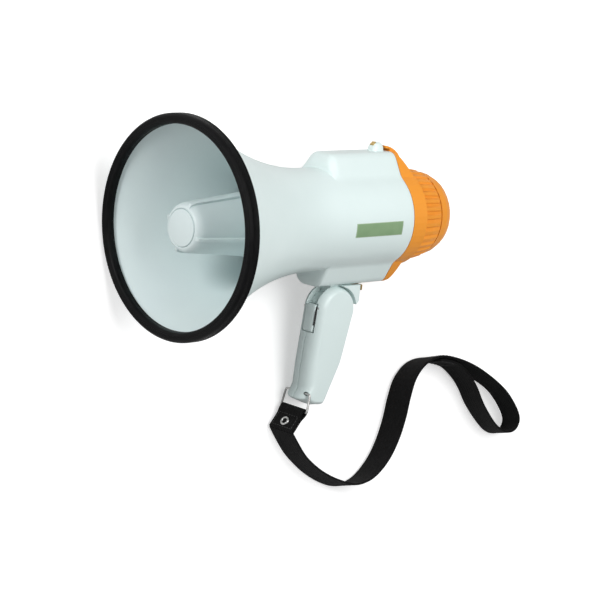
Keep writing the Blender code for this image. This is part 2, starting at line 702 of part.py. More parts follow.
def cover_reach(y, length=COVER_LENGTH - COVER_EDGE, slope=COVER_SLOPE):
    """How far a ridge of the cover reaches from the axis: it slopes down to the ribbed ring."""
    low = RING_RADIUS + COVER_STEP
    share = min(max((y - COVER_FRONT) / length, 0), 1)
    return low + (LOBE_REACH + COVER_STEP - low) * (1 - share**slope)


def cover_envelope(length, slope):
    """Section (radius, distance) of the solid of revolution that slopes one of the cover's ridges."""
    ahead = (LOBE_REACH + 2 * WALL, COVER_FRONT - WALL)
    points = [(0, ahead[1]), ahead, (ahead[0], COVER_FRONT)]
    for i in range(7):
        y = COVER_FRONT + length * i / 6
        points.append((cover_reach(y, length, slope), y))
    return points + [(0, points[-1][1])]


def make_rear_cover():
    section = [(0, COVER_FRONT), (BODY_RADIUS, COVER_FRONT), (BODY_RADIUS, COVER_REAR - COVER_EDGE)]
    section += [(RING_RADIUS + COVER_STEP, COVER_REAR), (0, COVER_REAR)]
    cover = turned("rear_cover", section, ORANGE, COVER, steps=BELL_STEPS)
    shapes = ((1, "top", COVER_LENGTH - COVER_EDGE, COVER_SLOPE), (-1, "bottom", HEEL_LENGTH, HEEL_SLOPE))
    ends = (COVER_FRONT, COVER_REAR - MM)
    for sign, side, length, slope in shapes:
        ridge = prism(f"cover_lobe_{side}", lobe_outline(sign), "Y", *ends, parent=COVER)
        section = cover_envelope(length, slope)
        envelope = turned(f"cover_slope_{side}", section, parent=COVER, steps=BELL_STEPS)
        boolean(ridge, envelope, "INTERSECT")
        boolean(cover, ridge, "UNION")
    floor = COVER_REAR - COVER_WALL
    ahead = COVER_FRONT - WALL
    hollow = [(0, ahead), (BODY_BORE, ahead), (BODY_BORE - 2 * MM, floor), (0, floor)]
    boolean(cover, turned("cover_hollow", hollow, parent=COVER, steps=BELL_STEPS))
    half = 2 * CELL_RADIUS - 2 * MM
    post_front = CELL_REAR + CONTACT_THICKNESS + 2 * GAP
    for sign, side in ((1, "top"), (-1, "bottom")):
        levels = sorted((sign * (CELL_LEVEL - 6 * MM), sign * (CELL_LEVEL + 3 * MM)))
        low = (-half, post_front, levels[0])
        high = (half, floor + GAP, levels[1])
        boolean(cover, box(f"contact_post_{side}", low, high, parent=COVER), "UNION", "MANIFOLD")
    side = LATCH_HALF_WIDTH + RUNNING_GAP
    notch_rear = COVER_FRONT + LATCH_LENGTH + 2 * RUNNING_GAP
    top = LOBE_REACH + 2 * WALL
    notch = [
        (ahead, top),
        (ahead, LOBE_REACH - LATCH_HEIGHT - LATCH_ROOM),
        (LATCH_PIN_Y, LATCH_PIN_Z - LATCH_HEIGHT / 2 - LATCH_ROOM),
        (notch_rear, cover_reach(notch_rear) - LATCH_HEIGHT - LATCH_ROOM / 2),
        (notch_rear, top),
    ]
    boolean(cover, prism("latch_notch", notch, "X", -side, side, parent=COVER), solver="MANIFOLD")
    reach = side + 2 * MM + GAP
    bore = rod(
        "latch_pin_hole",
        LATCH_PIN_RADIUS + GAP,
        (-reach, LATCH_PIN_Y, LATCH_PIN_Z),
        (reach, LATCH_PIN_Y, LATCH_PIN_Z),
        parent=COVER,
        steps=12,
    )
    boolean(cover, bore, solver="MANIFOLD")
    wires = rod("wire_hole", 6 * MM, (0, floor - WALL, 0), (0, COVER_REAR + WALL, 0), parent=COVER)
    boolean(cover, wires, solver="MANIFOLD")


def make_latch():
    """Spring tab at the top of the seam that lets the rear cover go."""
    front = COVER_FRONT + 2 * RUNNING_GAP
    rear = COVER_FRONT + LATCH_LENGTH
    middle = (front + rear) / 2
    outline = filleted([
        (front, LOBE_REACH - LATCH_HEIGHT, 0.4 * MM),
        (LATCH_PIN_Y, LATCH_PIN_Z - LATCH_HEIGHT / 2, 1 * MM),
        (rear, cover_reach(rear) - LATCH_HEIGHT + LATCH_PROUD, 0.6 * MM),
        (rear, cover_reach(rear) + LATCH_PROUD, 0.6 * MM),
        (middle, cover_reach(middle) + LATCH_PROUD, 4 * MM),
        (front, LOBE_REACH + LATCH_PROUD, 0.5 * MM),
    ])
    tab = prism("cover_latch", outline, "X", -LATCH_HALF_WIDTH, LATCH_HALF_WIDTH, ORANGE, LATCH)
    reach = LATCH_HALF_WIDTH + RUNNING_GAP + 2 * MM
    axis = [(-reach, LATCH_PIN_Y, LATCH_PIN_Z), (reach, LATCH_PIN_Y, LATCH_PIN_Z)]
    long_axis = [(-2 * reach, LATCH_PIN_Y, LATCH_PIN_Z), (2 * reach, LATCH_PIN_Y, LATCH_PIN_Z)]
    boolean(tab, rod("latch_bore", LATCH_PIN_RADIUS + GAP, *long_axis, parent=LATCH, steps=12))
    rod("latch_pin", LATCH_PIN_RADIUS, *axis, STEEL, COVER, steps=12)


def ring_section(radius):
    """Points of one section of the ribbed ring: each rib rises slowly and drops steeply."""
    points = []
    for i in range(RING_RIBS):
        for share, drop in ((0.0, 1.0), (0.18, 1.0), (0.34, 0.1), (0.72, 0.0)):
            angle = math.tau * (i + share) / RING_RIBS
            points.append((radius - drop * RING_RIB_DEPTH, angle))
    return points


def make_volume_ring():
    """A loft through ribbed sections, with plain round ends and a bore."""
    mid = (RING_RADIUS + RING_REAR_RADIUS) / 2 + 0.5 * MM
    levels = [
        (RING_FRONT, ring_section(RING_RADIUS)),
        (RING_FRONT + RING_LENGTH * 0.5, ring_section(mid)),
        (RING_REAR - 2.2 * MM, ring_section(RING_REAR_RADIUS + 0.5 * MM)),
        (RING_REAR, [(RING_REAR_RADIUS - RING_RIB_DEPTH, a) for _, a in ring_section(0)]),
    ]
    work = bmesh.new()
    rings = []
    for y, section in levels:
        rings.append([work.verts.new((r * math.cos(a), y, r * math.sin(a))) for r, a in section])
    count = len(rings[0])
    for lower, upper in zip(rings, rings[1:]):
        for i in range(count):
            j = (i + 1) % count
            work.faces.new((lower[i], upper[i], upper[j], lower[j]))
    work.faces.new(rings[0])
    work.faces.new(rings[-1][::-1])
    bmesh.ops.recalc_face_normals(work, faces=work.faces)
    mesh = bpy.data.meshes.new("volume_ring")
    work.to_mesh(mesh)
    work.free()
    ring = add("volume_ring", mesh, ORANGE, RING)
    ends = (RING_FRONT - WALL, RING_REAR + WALL)
    bore = [(0, ends[0]), (RING_BORE, ends[0]), (RING_BORE, ends[1]), (0, ends[1])]
    boolean(ring, turned("ring_bore", bore, parent=RING, steps=BELL_STEPS))


def cap_profile(inset):
    """Quarter-ellipse from the cap's shoulder to its end face, as (radius, distance)."""
    wide = CAP_SHOULDER_RADIUS - inset
    end = CAP_END_RADIUS - inset
    deep = CAP_LENGTH - inset
    quarter = arc((0, 0), 1, 0, 90)
    return [(end + (wide - end) * u, CAP_FRONT + deep * v) for u, v in quarter]


def make_microphone_cap():
    skirt_front = COVER_REAR + GAP
    section = [(SKIRT_RADIUS, skirt_front), (SKIRT_RADIUS, CAP_FRONT)] + cap_profile(0)
    section += [(0, CAP_REAR), (0, CAP_REAR - CAP_WALL)] + cap_profile(CAP_WALL)[::-1][:-1]
    inside = SKIRT_RADIUS - CAP_WALL
    section += [(inside, CAP_FRONT + 2 * MM), (inside, skirt_front)]
    cap = turned("microphone_cap", section, ORANGE, COVER, steps=32)
    for i in range(CAP_SLOTS):
        level = (i - (CAP_SLOTS - 1) / 2) * CAP_SLOT_PITCH
        half = math.sqrt((CAP_END_RADIUS - 2 * MM) ** 2 - level * level)
        low = (-half, CAP_REAR - 2 * CAP_WALL, level - CAP_SLOT_WIDTH / 2)
        high = (half, CAP_REAR + CAP_WALL, level + CAP_SLOT_WIDTH / 2)
        boolean(cap, box(f"microphone_slot_{i + 1}", low, high, parent=COVER))
    rear = CAP_REAR - CAP_WALL - GAP
    bore = MIC_RADIUS + GAP
    outer = bore + BOOT_WALL
    front = rear - MIC_LENGTH - 2 * MM
    boot = [(bore, front), (outer, front), (outer, rear), (bore, rear)]
    turned("microphone_boot", boot, RUBBER, COVER, steps=24)
    capsule = ((0, front + MM, 0), (0, front + MM + MIC_LENGTH, 0))
    rod("microphone", MIC_RADIUS, *capsule, STEEL, COVER, steps=20)


def make_volume_potentiometer():
    start = COVER_REAR + GAP
    pot = rod(
        "volume_potentiometer",
        POT_RADIUS,
        (0, start, -POT_DROP),
        (0, start + POT_LENGTH, -POT_DROP),
        BLACK_PLASTIC,
        COVER,
        steps=20,
    )
    spindle = (0, start + POT_LENGTH - MM, -POT_DROP)
    tip = (0, start + POT_LENGTH + 6 * MM, -POT_DROP)
    boolean(pot, rod("potentiometer_spindle", 3 * MM, spindle, tip, parent=COVER), "UNION")


def make_bracket():
    """Saddle under the body: a web between the handle's cheeks and a shoulder behind its head."""
    top = -LOBE_REACH - GAP
    neck = 90 + math.degrees(math.asin(NECK_FRONT / WEB_RADIUS))
    outline = [(PIVOT_Y - NECK_FRONT, top)] + arc((PIVOT_Y, PIVOT_Z), WEB_RADIUS, neck, 340, 16)
    outline += [(BRACKET_REAR - 3 * MM, top - BRACKET_DROP), (BRACKET_REAR, top - BRACKET_DROP + 3 * MM)]
    outline += [(BRACKET_REAR, top)]
    bracket = prism("handle_bracket", outline, "X", -HANDLE_HALF, HANDLE_HALF, WHITE)
    web = WEB_HALF
    for sign, side in ((1, "right"), (-1, "left")):
        near = (sign * web, PIVOT_Y, PIVOT_Z)
        far = (sign * 2 * HANDLE_HALF, PIVOT_Y, PIVOT_Z)
        recess = rod(f"head_recess_{side}", HEAD_RADIUS + RUNNING_GAP, near, far, steps=32)
        boolean(bracket, recess)
        xs = sorted((sign * web, sign * 2 * HANDLE_HALF))
        low = (xs[0], PIVOT_Y - 2 * HEAD_RADIUS, PIVOT_Z - HEAD_RADIUS)
        high = (xs[1], PIVOT_Y + HEAD_RADIUS * 0.2, top + MM)
        boolean(bracket, box(f"cheek_room_{side}", low, high))
    half = (WEB_HALF * 4, PIVOT_Y, PIVOT_Z)
    bore = rod("bracket_bore", PIVOT_PIN_RADIUS + GAP, (-half[0], *half[1:]), half, steps=20)
    boolean(bracket, bore)
    low = (-BUTTON_HALF - GAP, BRACKET_REAR - BUTTON_BORE, top - BUTTON_HEIGHT - 2 * GAP)
    high = (BUTTON_HALF + GAP, BRACKET_REAR + MM, top + MM)
    boolean(bracket, box("button_bore", low, high))


def make_fold_button():
    top = -LOBE_REACH - 3 * GAP
    low = (-BUTTON_HALF, BRACKET_REAR - BUTTON_BORE / 2, top - BUTTON_HEIGHT + GAP)
    high = (BUTTON_HALF, BRACKET_REAR + BUTTON_PROUD, top)
    bevelled(box("fold_lock_button", low, high, BRASS, BUTTON), 0.6 * MM)


def grip_half(z):
    """Half width of the handle, which tapers from its head to its foot."""
    head_top = PIVOT_Z + HEAD_RADIUS
    share = (head_top - z) / (head_top - HANDLE_BOTTOM)
    return HANDLE_HALF + (GRIP_FOOT_HALF - HANDLE_HALF) * share


def tapered(target, inset=0.0):
    for vertex in target.data.vertices:
        vertex.co.x = math.copysign(grip_half(vertex.co.z) - inset, vertex.co.x)
    return target


def grip_outline(inset=0.0):
    """Side view (y, z) of the handle: a round head that runs down into a tapered, leaning grip."""
    radius = HEAD_RADIUS - inset
    head = arc((PIVOT_Y, PIVOT_Z), radius, -4, 184, 14)
    front_mid = PIVOT_Y - GRIP_FRONT_TOP - HANDLE_LEAN * 0.36 + inset
    mid = PIVOT_Z - HANDLE_LENGTH * 0.55
    lip_front = GRIP_FRONT_BOTTOM - GRIP_LIP + inset
    tail = [
        (front_mid, mid, 14 * MM),
        (GRIP_FRONT_BOTTOM + inset, HANDLE_BOTTOM + 14 * MM, 8 * MM),
        (lip_front, HANDLE_BOTTOM + 6.5 * MM + inset, 1.5 * MM),
        (GRIP_FRONT_BOTTOM + GRIP_BOTTOM_DEPTH * 0.45, HANDLE_BOTTOM + MM + inset, 6 * MM),
        (GRIP_REAR_BOTTOM - inset, HANDLE_BOTTOM + inset, 3 * MM),
        (PIVOT_Y + HEAD_RADIUS * 0.5 - inset, mid, 30 * MM),
    ]
    corners = [(y, z, 0) for y, z in head] + tail
    return filleted(corners)


def make_handle():
    """Two moulded halves round a hollow grip, split at the middle plane."""
    seams = {"right": (GAP / 2, 3 * HANDLE_HALF), "left": (-3 * HANDLE_HALF, -GAP / 2)}
    cheek = WEB_HALF + RUNNING_GAP
    web = WEB_RADIUS + RUNNING_GAP
    outline = grip_outline()
    hollow_top = PIVOT_Z - WEB_RADIUS - 12 * MM
    slot_front = PIVOT_Y - 2 * HEAD_RADIUS
    trigger_low = PIVOT_Z + TRIGGER_TOP - TRIGGER_LENGTH - RUNNING_GAP
    pocket_front = TRIGGER_BACK + RUNNING_GAP
    pocket_low = trigger_low - 5 * MM
    trigger_half = TRIGGER_HALF + RUNNING_GAP
    pin_reach = HANDLE_HALF - PIVOT_SKIN
    for side, (low, high) in seams.items():
        shell = prism(f"handle_{side}_shell", outline, "X", -HANDLE_HALF, HANDLE_HALF, WHITE, HANDLE)
        bevelled(tapered(shell), GRIP_ROUNDING)
        half_low = (low, slot_front - HANDLE_LENGTH, 2 * HANDLE_BOTTOM)
        half_high = (high, BRACKET_REAR + HANDLE_LENGTH, 0)
        boolean(shell, box(f"half_{side}", half_low, half_high, parent=HANDLE), "INTERSECT")
        inner_outline = grip_outline(SHELL_WALL)
        inner = prism(f"grip_hollow_{side}", inner_outline, "X", -HANDLE_HALF, HANDLE_HALF, parent=HANDLE)
        tapered(inner, SHELL_WALL)
        below = box(
            f"hollow_limit_{side}",
            (-HANDLE_HALF, slot_front - HANDLE_LENGTH, BAIL_Z + BAIL_WIRE + SHELL_WALL),
            (HANDLE_HALF, BRACKET_REAR, hollow_top),
            parent=HANDLE,
        )
        boolean(inner, below, "INTERSECT")
        boolean(shell, inner)
        centre = (PIVOT_Y, PIVOT_Z)
        web_ends = ((-cheek, *centre), (cheek, *centre))
        boolean(shell, rod(f"web_room_{side}", web, *web_ends, parent=HANDLE, steps=28))
        head = box(
            f"web_slot_{side}",
            (-cheek, slot_front, PIVOT_Z + 5.6 * MM),
            (cheek, BRACKET_REAR, PIVOT_Z + 2 * HEAD_RADIUS),
            parent=HANDLE,
        )
        boolean(shell, head)
        rear = box(
            f"stop_slot_{side}",
            (-cheek, PIVOT_Y, PIVOT_Z - HEAD_RADIUS * 0.5),
            (cheek, BRACKET_REAR + MM, PIVOT_Z + HEAD_RADIUS),
            parent=HANDLE,
        )
        boolean(shell, rear)
        pin_ends = ((-pin_reach, *centre), (pin_reach, *centre))
        boolean(shell, rod(f"pin_bore_{side}", PIVOT_PIN_RADIUS + GAP, *pin_ends, parent=HANDLE, steps=20))
        window = box(
            f"trigger_window_{side}",
            (-trigger_half, slot_front, trigger_low),
            (trigger_half, pocket_front, PIVOT_Z + 6 * MM),
            parent=HANDLE,
        )
        boolean(shell, window)
        pocket = box(
            f"switch_pocket_{side}",
            (-trigger_half, pocket_front - MM, pocket_low),
            (trigger_half, pocket_front + SWITCH_DEPTH + 2 * GAP, pocket_low + SWITCH_HEIGHT + 2 * GAP),
            parent=HANDLE,
        )
        boolean(shell, pocket)
        reach = trigger_half + 2 * MM + GAP
        trigger_axis = (TRIGGER_PIN_Y, TRIGGER_PIN_Z)
        ends = ((-reach, *trigger_axis), (reach, *trigger_axis))
        pin_hole = TRIGGER_PIN_RADIUS + GAP
        boolean(shell, rod(f"trigger_pin_hole_{side}", pin_hole, *ends, parent=HANDLE, steps=12))
        for sign in (1, -1):
            start = (sign * (grip_half(BAIL_Z) - BAIL_END_DEPTH - GAP), BAIL_Y, BAIL_Z)
            end = (sign * 2 * HANDLE_HALF, BAIL_Y, BAIL_Z)
            room = BAIL_WIRE + RUNNING_GAP
            boolean(shell, rod(f"bail_hole_{side}_{sign}", room, start, end, parent=HANDLE, steps=12))
    plunger_level = pocket_low + SWITCH_HEIGHT * 0.7
    plunger_ends = ((0, pocket_front - 2 * GAP, plunger_level), (0, pocket_front + 2 * MM, plunger_level))
    plunger = rod("trigger_switch_plunger", PLUNGER_RADIUS, *plunger_ends, parent=HANDLE)
    switch_low = (-TRIGGER_HALF, pocket_front + GAP, pocket_low + GAP)
    switch_high = (TRIGGER_HALF, pocket_front + SWITCH_DEPTH + GAP, pocket_low + SWITCH_HEIGHT + GAP)
    switch = box("trigger_switch", switch_low, switch_high, BLACK_PLASTIC, HANDLE)
    boolean(switch, plunger, "UNION")


def make_pins():
    reach = HANDLE_HALF - PIVOT_SKIN - GAP
    ends = ((-reach, PIVOT_Y, PIVOT_Z), (reach, PIVOT_Y, PIVOT_Z))
    rod("handle_pivot_pin", PIVOT_PIN_RADIUS, *ends, STEEL, ROOT, steps=20)
    reach = TRIGGER_HALF + RUNNING_GAP + 2 * MM
    ends = ((-reach, TRIGGER_PIN_Y, TRIGGER_PIN_Z), (reach, TRIGGER_PIN_Y, TRIGGER_PIN_Z))
    rod("trigger_pin", TRIGGER_PIN_RADIUS, *ends, STEEL, HANDLE, steps=12)


def make_trigger():
    front = PIVOT_Y - GRIP_FRONT_TOP - TRIGGER_PROUD
    top = PIVOT_Z + TRIGGER_TOP
    low = top - TRIGGER_LENGTH
    lean = HANDLE_LEAN * TRIGGER_LENGTH / HANDLE_LENGTH * 0.6
    outline = filleted([
        (TRIGGER_BACK, top, 1 * MM),
        (front + 1.6 * MM, top, 1.5 * MM),
        (front - lean * 0.3, top - TRIGGER_LENGTH * 0.45, 14 * MM),
        (front - lean, low + 2 * MM, 2 * MM),
        (front - lean + 1.5 * MM, low, 1 * MM),
        (TRIGGER_BACK - TRIGGER_TRAVEL, low, 0.5 * MM),
    ])
    lever = prism("trigger", outline, "X", -TRIGGER_HALF, TRIGGER_HALF, WHITE, TRIGGER)
    bevelled(lever, 0.8 * MM)
    reach = 2 * TRIGGER_HALF
    ends = ((-reach, TRIGGER_PIN_Y, TRIGGER_PIN_Z), (reach, TRIGGER_PIN_Y, TRIGGER_PIN_Z))
    boolean(lever, rod("trigger_bore", TRIGGER_PIN_RADIUS + GAP, *ends, parent=TRIGGER, steps=12))


def make_bail():
    inside = grip_half(BAIL_Z) - BAIL_END_DEPTH
    shoulder = grip_half(BAIL_Z) + BAIL_WIRE + 2 * RUNNING_GAP
    bend = BAIL_HALF - STRAP_WIDTH / 2 - GAP
    outline = filleted([
        (inside, 0, 0),
        (shoulder, 0, bend),
        (BAIL_HALF, BAIL_DROP, bend),
        (-BAIL_HALF, BAIL_DROP, bend),
        (-shoulder, 0, bend),
        (-inside, 0, 0),
    ])
    lean = (math.sin(BAIL_TILT), -math.cos(BAIL_TILT))
    path = [(x, BAIL_Y + drop * lean[0], BAIL_Z + drop * lean[1]) for x, drop in outline]
    wire("strap_bail", path, BAIL_WIRE, STEEL, BAIL)


def flap_point(along, across=0.0):
    """A place on the strap's sewn end, at a distance below the bail's bar, as (y, z)."""
    down = Vector((math.sin(FLAP_TILT), -math.cos(FLAP_TILT)))
    side = Vector((math.cos(FLAP_TILT), math.sin(FLAP_TILT)))
    place = Vector((BAR_Y, BAR_Z)) + along * down + across * side
    return tuple(place)


def make_strap_end():
    """Sewn, doubled end of the strap, looped over the bail's bar."""
    loop = BAIL_WIRE + GAP + STRAP_THICKNESS
    half = STRAP_THICKNESS
    bar = (BAR_Y, BAR_Z)
    tilt = math.degrees(FLAP_TILT)
    outline = arc(bar, loop, tilt - 35, tilt + 215, 12)
    outline += [flap_point(FLAP_LENGTH * 0.4, -half), flap_point(FLAP_LENGTH, -half)]
    outline += [flap_point(FLAP_LENGTH, half), flap_point(FLAP_LENGTH * 0.4, half)]
    width = STRAP_WIDTH / 2
    flap = prism("strap_end", outline, "X", -width, width, WEBBING, BAIL)
    ends = ((-2 * width, *bar), (2 * width, *bar))
    boolean(flap, rod("bail_bar_room", BAIL_WIRE + GAP, *ends, parent=BAIL, steps=16))
    reach = half + EYELET_FLANGE + GAP
    low = (0, *flap_point(EYELET_PLACE, -reach))
    high = (0, *flap_point(EYELET_PLACE, reach))
    barrel = EYELET_BORE + 0.5 * MM
    boolean(flap, rod("eyelet_hole", barrel + GAP, low, high, parent=BAIL, steps=20))
    eyelet = rod("strap_eyelet", barrel, low, high, STEEL, BAIL, steps=20)
    for name, sign in (("front", -1), ("back", 1)):
        start = (0, *flap_point(EYELET_PLACE, sign * (half + GAP)))
        end = (0, *flap_point(EYELET_PLACE, sign * reach))
        flange = rod(f"eyelet_flange_{name}", EYELET_RADIUS, start, end, parent=BAIL, steps=20)
        boolean(eyelet, flange, "UNION")
    far_low = (0, *flap_point(EYELET_PLACE, -2 * reach))
    far_high = (0, *flap_point(EYELET_PLACE, 2 * reach))
    boolean(eyelet, rod("eyelet_bore", EYELET_BORE, far_low, far_high, parent=BAIL, steps=20))


def smooth_path(points, step):
    """Points at an even step along a smooth curve through the given places."""
    dense = []
    for i in range(len(points) - 1):
        before = points[max(i - 1, 0)]
        here, ahead = points[i], points[i + 1]
        after = points[min(i + 2, len(points) - 1)]
        for k in range(8):
            t = k / 8
            dense.append(
                0.5
                * (
                    2 * here
                    + (ahead - before) * t
                    + (2 * before - 5 * here + 4 * ahead - after) * t * t
                    + (3 * here - before - 3 * ahead + after) * t**3
                )
            )
    dense.append(points[-1])
    even = [dense[0]]
    left = step
    for a, b in zip(dense, dense[1:]):
        length = (b - a).length
        done = 0.0
        while length - done > left:
            done += left
            left = step
            even.append(a.lerp(b, done / length))
        left -= length - done
    return even


def floor_frame():
    """Up, across and along directions of the floor in the as-held frame, and its distance."""
    rim_y = RIM_DEPTH / 2
    ends = ((RING_REAR_RADIUS, RING_REAR), (BODY_RADIUS, COVER_REAR))
    pitch = min(math.atan((RIM_RADIUS - radius) / (y - rim_y)) for radius, y in ends)
    supports = (
        (grip_half(HANDLE_BOTTOM), GRIP_REAR_BOTTOM, -HANDLE_BOTTOM - GRIP_ROUNDING),
        (BAIL_HALF + BAIL_WIRE, BAR_Y, -BAR_Z),
    )
    rolls = []
    for half, y, drop in supports:
        reach = RIM_RADIUS - math.tan(pitch) * (y - rim_y)
        rolls.append(math.asin(reach / math.hypot(half, drop)) - math.atan2(half, drop))
    roll = min(rolls)
    up = Vector((math.cos(pitch) * math.cos(roll), -math.sin(pitch), math.cos(pitch) * math.sin(roll)))
    along = Vector((0, 1, 0))
    along = (along - up * up.dot(along)).normalized()
    distance = RIM_RADIUS * math.cos(pitch) + math.sin(pitch) * rim_y
    return up, along.cross(up), along, distance


def make_strap_band(up, across, along, distance):
    """The free webbing: it twists from the bail's bar to stand on its edge and ends in a wrist loop."""
    half = STRAP_WIDTH / 2
    lift = half + 3 * GAP - distance
    route = [across * u + along * v + up * lift for u, v in STRAP_ROUTE]
    start = Vector((0, *flap_point(FLAP_LENGTH + 3 * GAP)))
    centres = smooth_path([start] + route, STRAP_STEP)
    bar = Vector((1, 0, 0))
    standing = up + along * math.tan(STRAP_LEAN)
    work = bmesh.new()
    rings = []
    for i, centre in enumerate(centres):
        turn = min(i * STRAP_STEP / STRAP_TWIST_LENGTH, 1)
        ruling = bar.lerp(standing, turn * turn * (3 - 2 * turn)).normalized()
        ahead = centres[min(i + 1, len(centres) - 1)] - centres[max(i - 1, 0)]
        tangent = (ahead if i else Vector((0, ahead.y, ahead.z))).normalized()
        side = tangent.cross(ruling).normalized() * STRAP_THICKNESS / 2
        edge = side.cross(tangent).normalized() * half
        corners = (centre - side - edge, centre + side - edge, centre + side + edge, centre - side + edge)
        rings.append([work.verts.new(corner) for corner in corners])
    for lower, upper in zip(rings, rings[1:]):
        for i in range(4):
            j = (i + 1) % 4
            work.faces.new((lower[i], lower[j], upper[j], upper[i]))
    work.faces.new(rings[0])
    work.faces.new(rings[-1])
    bmesh.ops.recalc_face_normals(work, faces=work.faces)
    mesh = bpy.data.meshes.new("strap_band")
    work.to_mesh(mesh)
    work.free()
    add("strap_band", mesh, WEBBING, HANDLE)


def lay_down(up, across, along):
    """Turns the root so that the floor is level, and centres the object over the origin."""
    turn = Matrix((across, along, up))
    ROOT.rotation_euler = turn.to_euler()
    bpy.context.view_layer.update()
    graph = bpy.context.evaluated_depsgraph_get()
    low = Vector((1, 1, 1))
    high = -low
    for part in PARTS.objects:
        if part.type == "EMPTY" or part.name in CORD_PARTS:
            continue
        shape = part.evaluated_get(graph)
        for corner in shape.to_mesh().vertices:
            place = shape.matrix_world @ corner.co
            low = Vector(map(min, low, place))
            high = Vector(map(max, high, place))
        shape.to_mesh_clear()
    ROOT.location = (-(low.x + high.x) / 2, -(low.y + high.y) / 2, -low.z)


def main():
    make_horn_body()
    make_rim_bumper()
    make_reflector()
    make_throat_tube()
    make_driver()
    make_amplifier()
    make_cells()
    make_rear_cover()
    make_latch()
    make_volume_ring()
    make_microphone_cap()
    make_volume_potentiometer()
    make_bracket()
    make_fold_button()
    make_handle()
    make_pins()
    make_trigger()
    make_bail()
    make_strap_end()
    up, across, along, distance = floor_frame()
    make_strap_band(up, across, along, distance)
    lay_down(up, across, along)
    bpy.context.view_layer.update()


main()
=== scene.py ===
import json
import math

import bmesh
import bpy
from mathutils import Matrix, Vector


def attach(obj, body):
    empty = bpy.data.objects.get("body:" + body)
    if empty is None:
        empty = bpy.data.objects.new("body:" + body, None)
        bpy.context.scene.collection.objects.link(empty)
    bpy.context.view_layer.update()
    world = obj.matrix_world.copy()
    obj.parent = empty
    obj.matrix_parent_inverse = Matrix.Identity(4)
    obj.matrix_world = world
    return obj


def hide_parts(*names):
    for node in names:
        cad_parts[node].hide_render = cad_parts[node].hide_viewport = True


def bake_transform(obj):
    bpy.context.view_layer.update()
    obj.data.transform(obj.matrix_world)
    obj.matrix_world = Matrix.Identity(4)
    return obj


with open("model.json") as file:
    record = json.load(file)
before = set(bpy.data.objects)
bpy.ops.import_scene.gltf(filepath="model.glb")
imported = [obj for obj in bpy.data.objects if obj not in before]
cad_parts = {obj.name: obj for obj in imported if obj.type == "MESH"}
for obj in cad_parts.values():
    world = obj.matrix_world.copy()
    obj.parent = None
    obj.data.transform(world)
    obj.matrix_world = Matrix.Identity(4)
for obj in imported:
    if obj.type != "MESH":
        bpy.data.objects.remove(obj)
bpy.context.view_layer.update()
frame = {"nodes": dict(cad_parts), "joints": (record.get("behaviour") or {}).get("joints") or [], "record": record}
NODES = frame["nodes"]
MM = 0.001
SHARP_ANGLE = 34.0

# The as-held frame of the part: mouth's front plane at y = 0, horn axis +Y, up +Z, near side +X
JOINTS = {joint["name"]: joint for joint in frame["joints"]}
AXIS_Y = Vector(JOINTS["volume_turn"]["axis"]).normalized()
AXIS_X = Vector(JOINTS["trigger_pull"]["axis"]).normalized()
AXIS_Z = AXIS_X.cross(AXIS_Y)
RING_FRONT = 212.4 * MM
MOUTH = Vector(JOINTS["volume_turn"]["pos_m"]) - AXIS_Y * RING_FRONT
HELD = Matrix((AXIS_X, AXIS_Y, AXIS_Z)).transposed().to_4x4()
HELD.translation = MOUTH
UP = Vector((0, 0, 1))


# Node materials

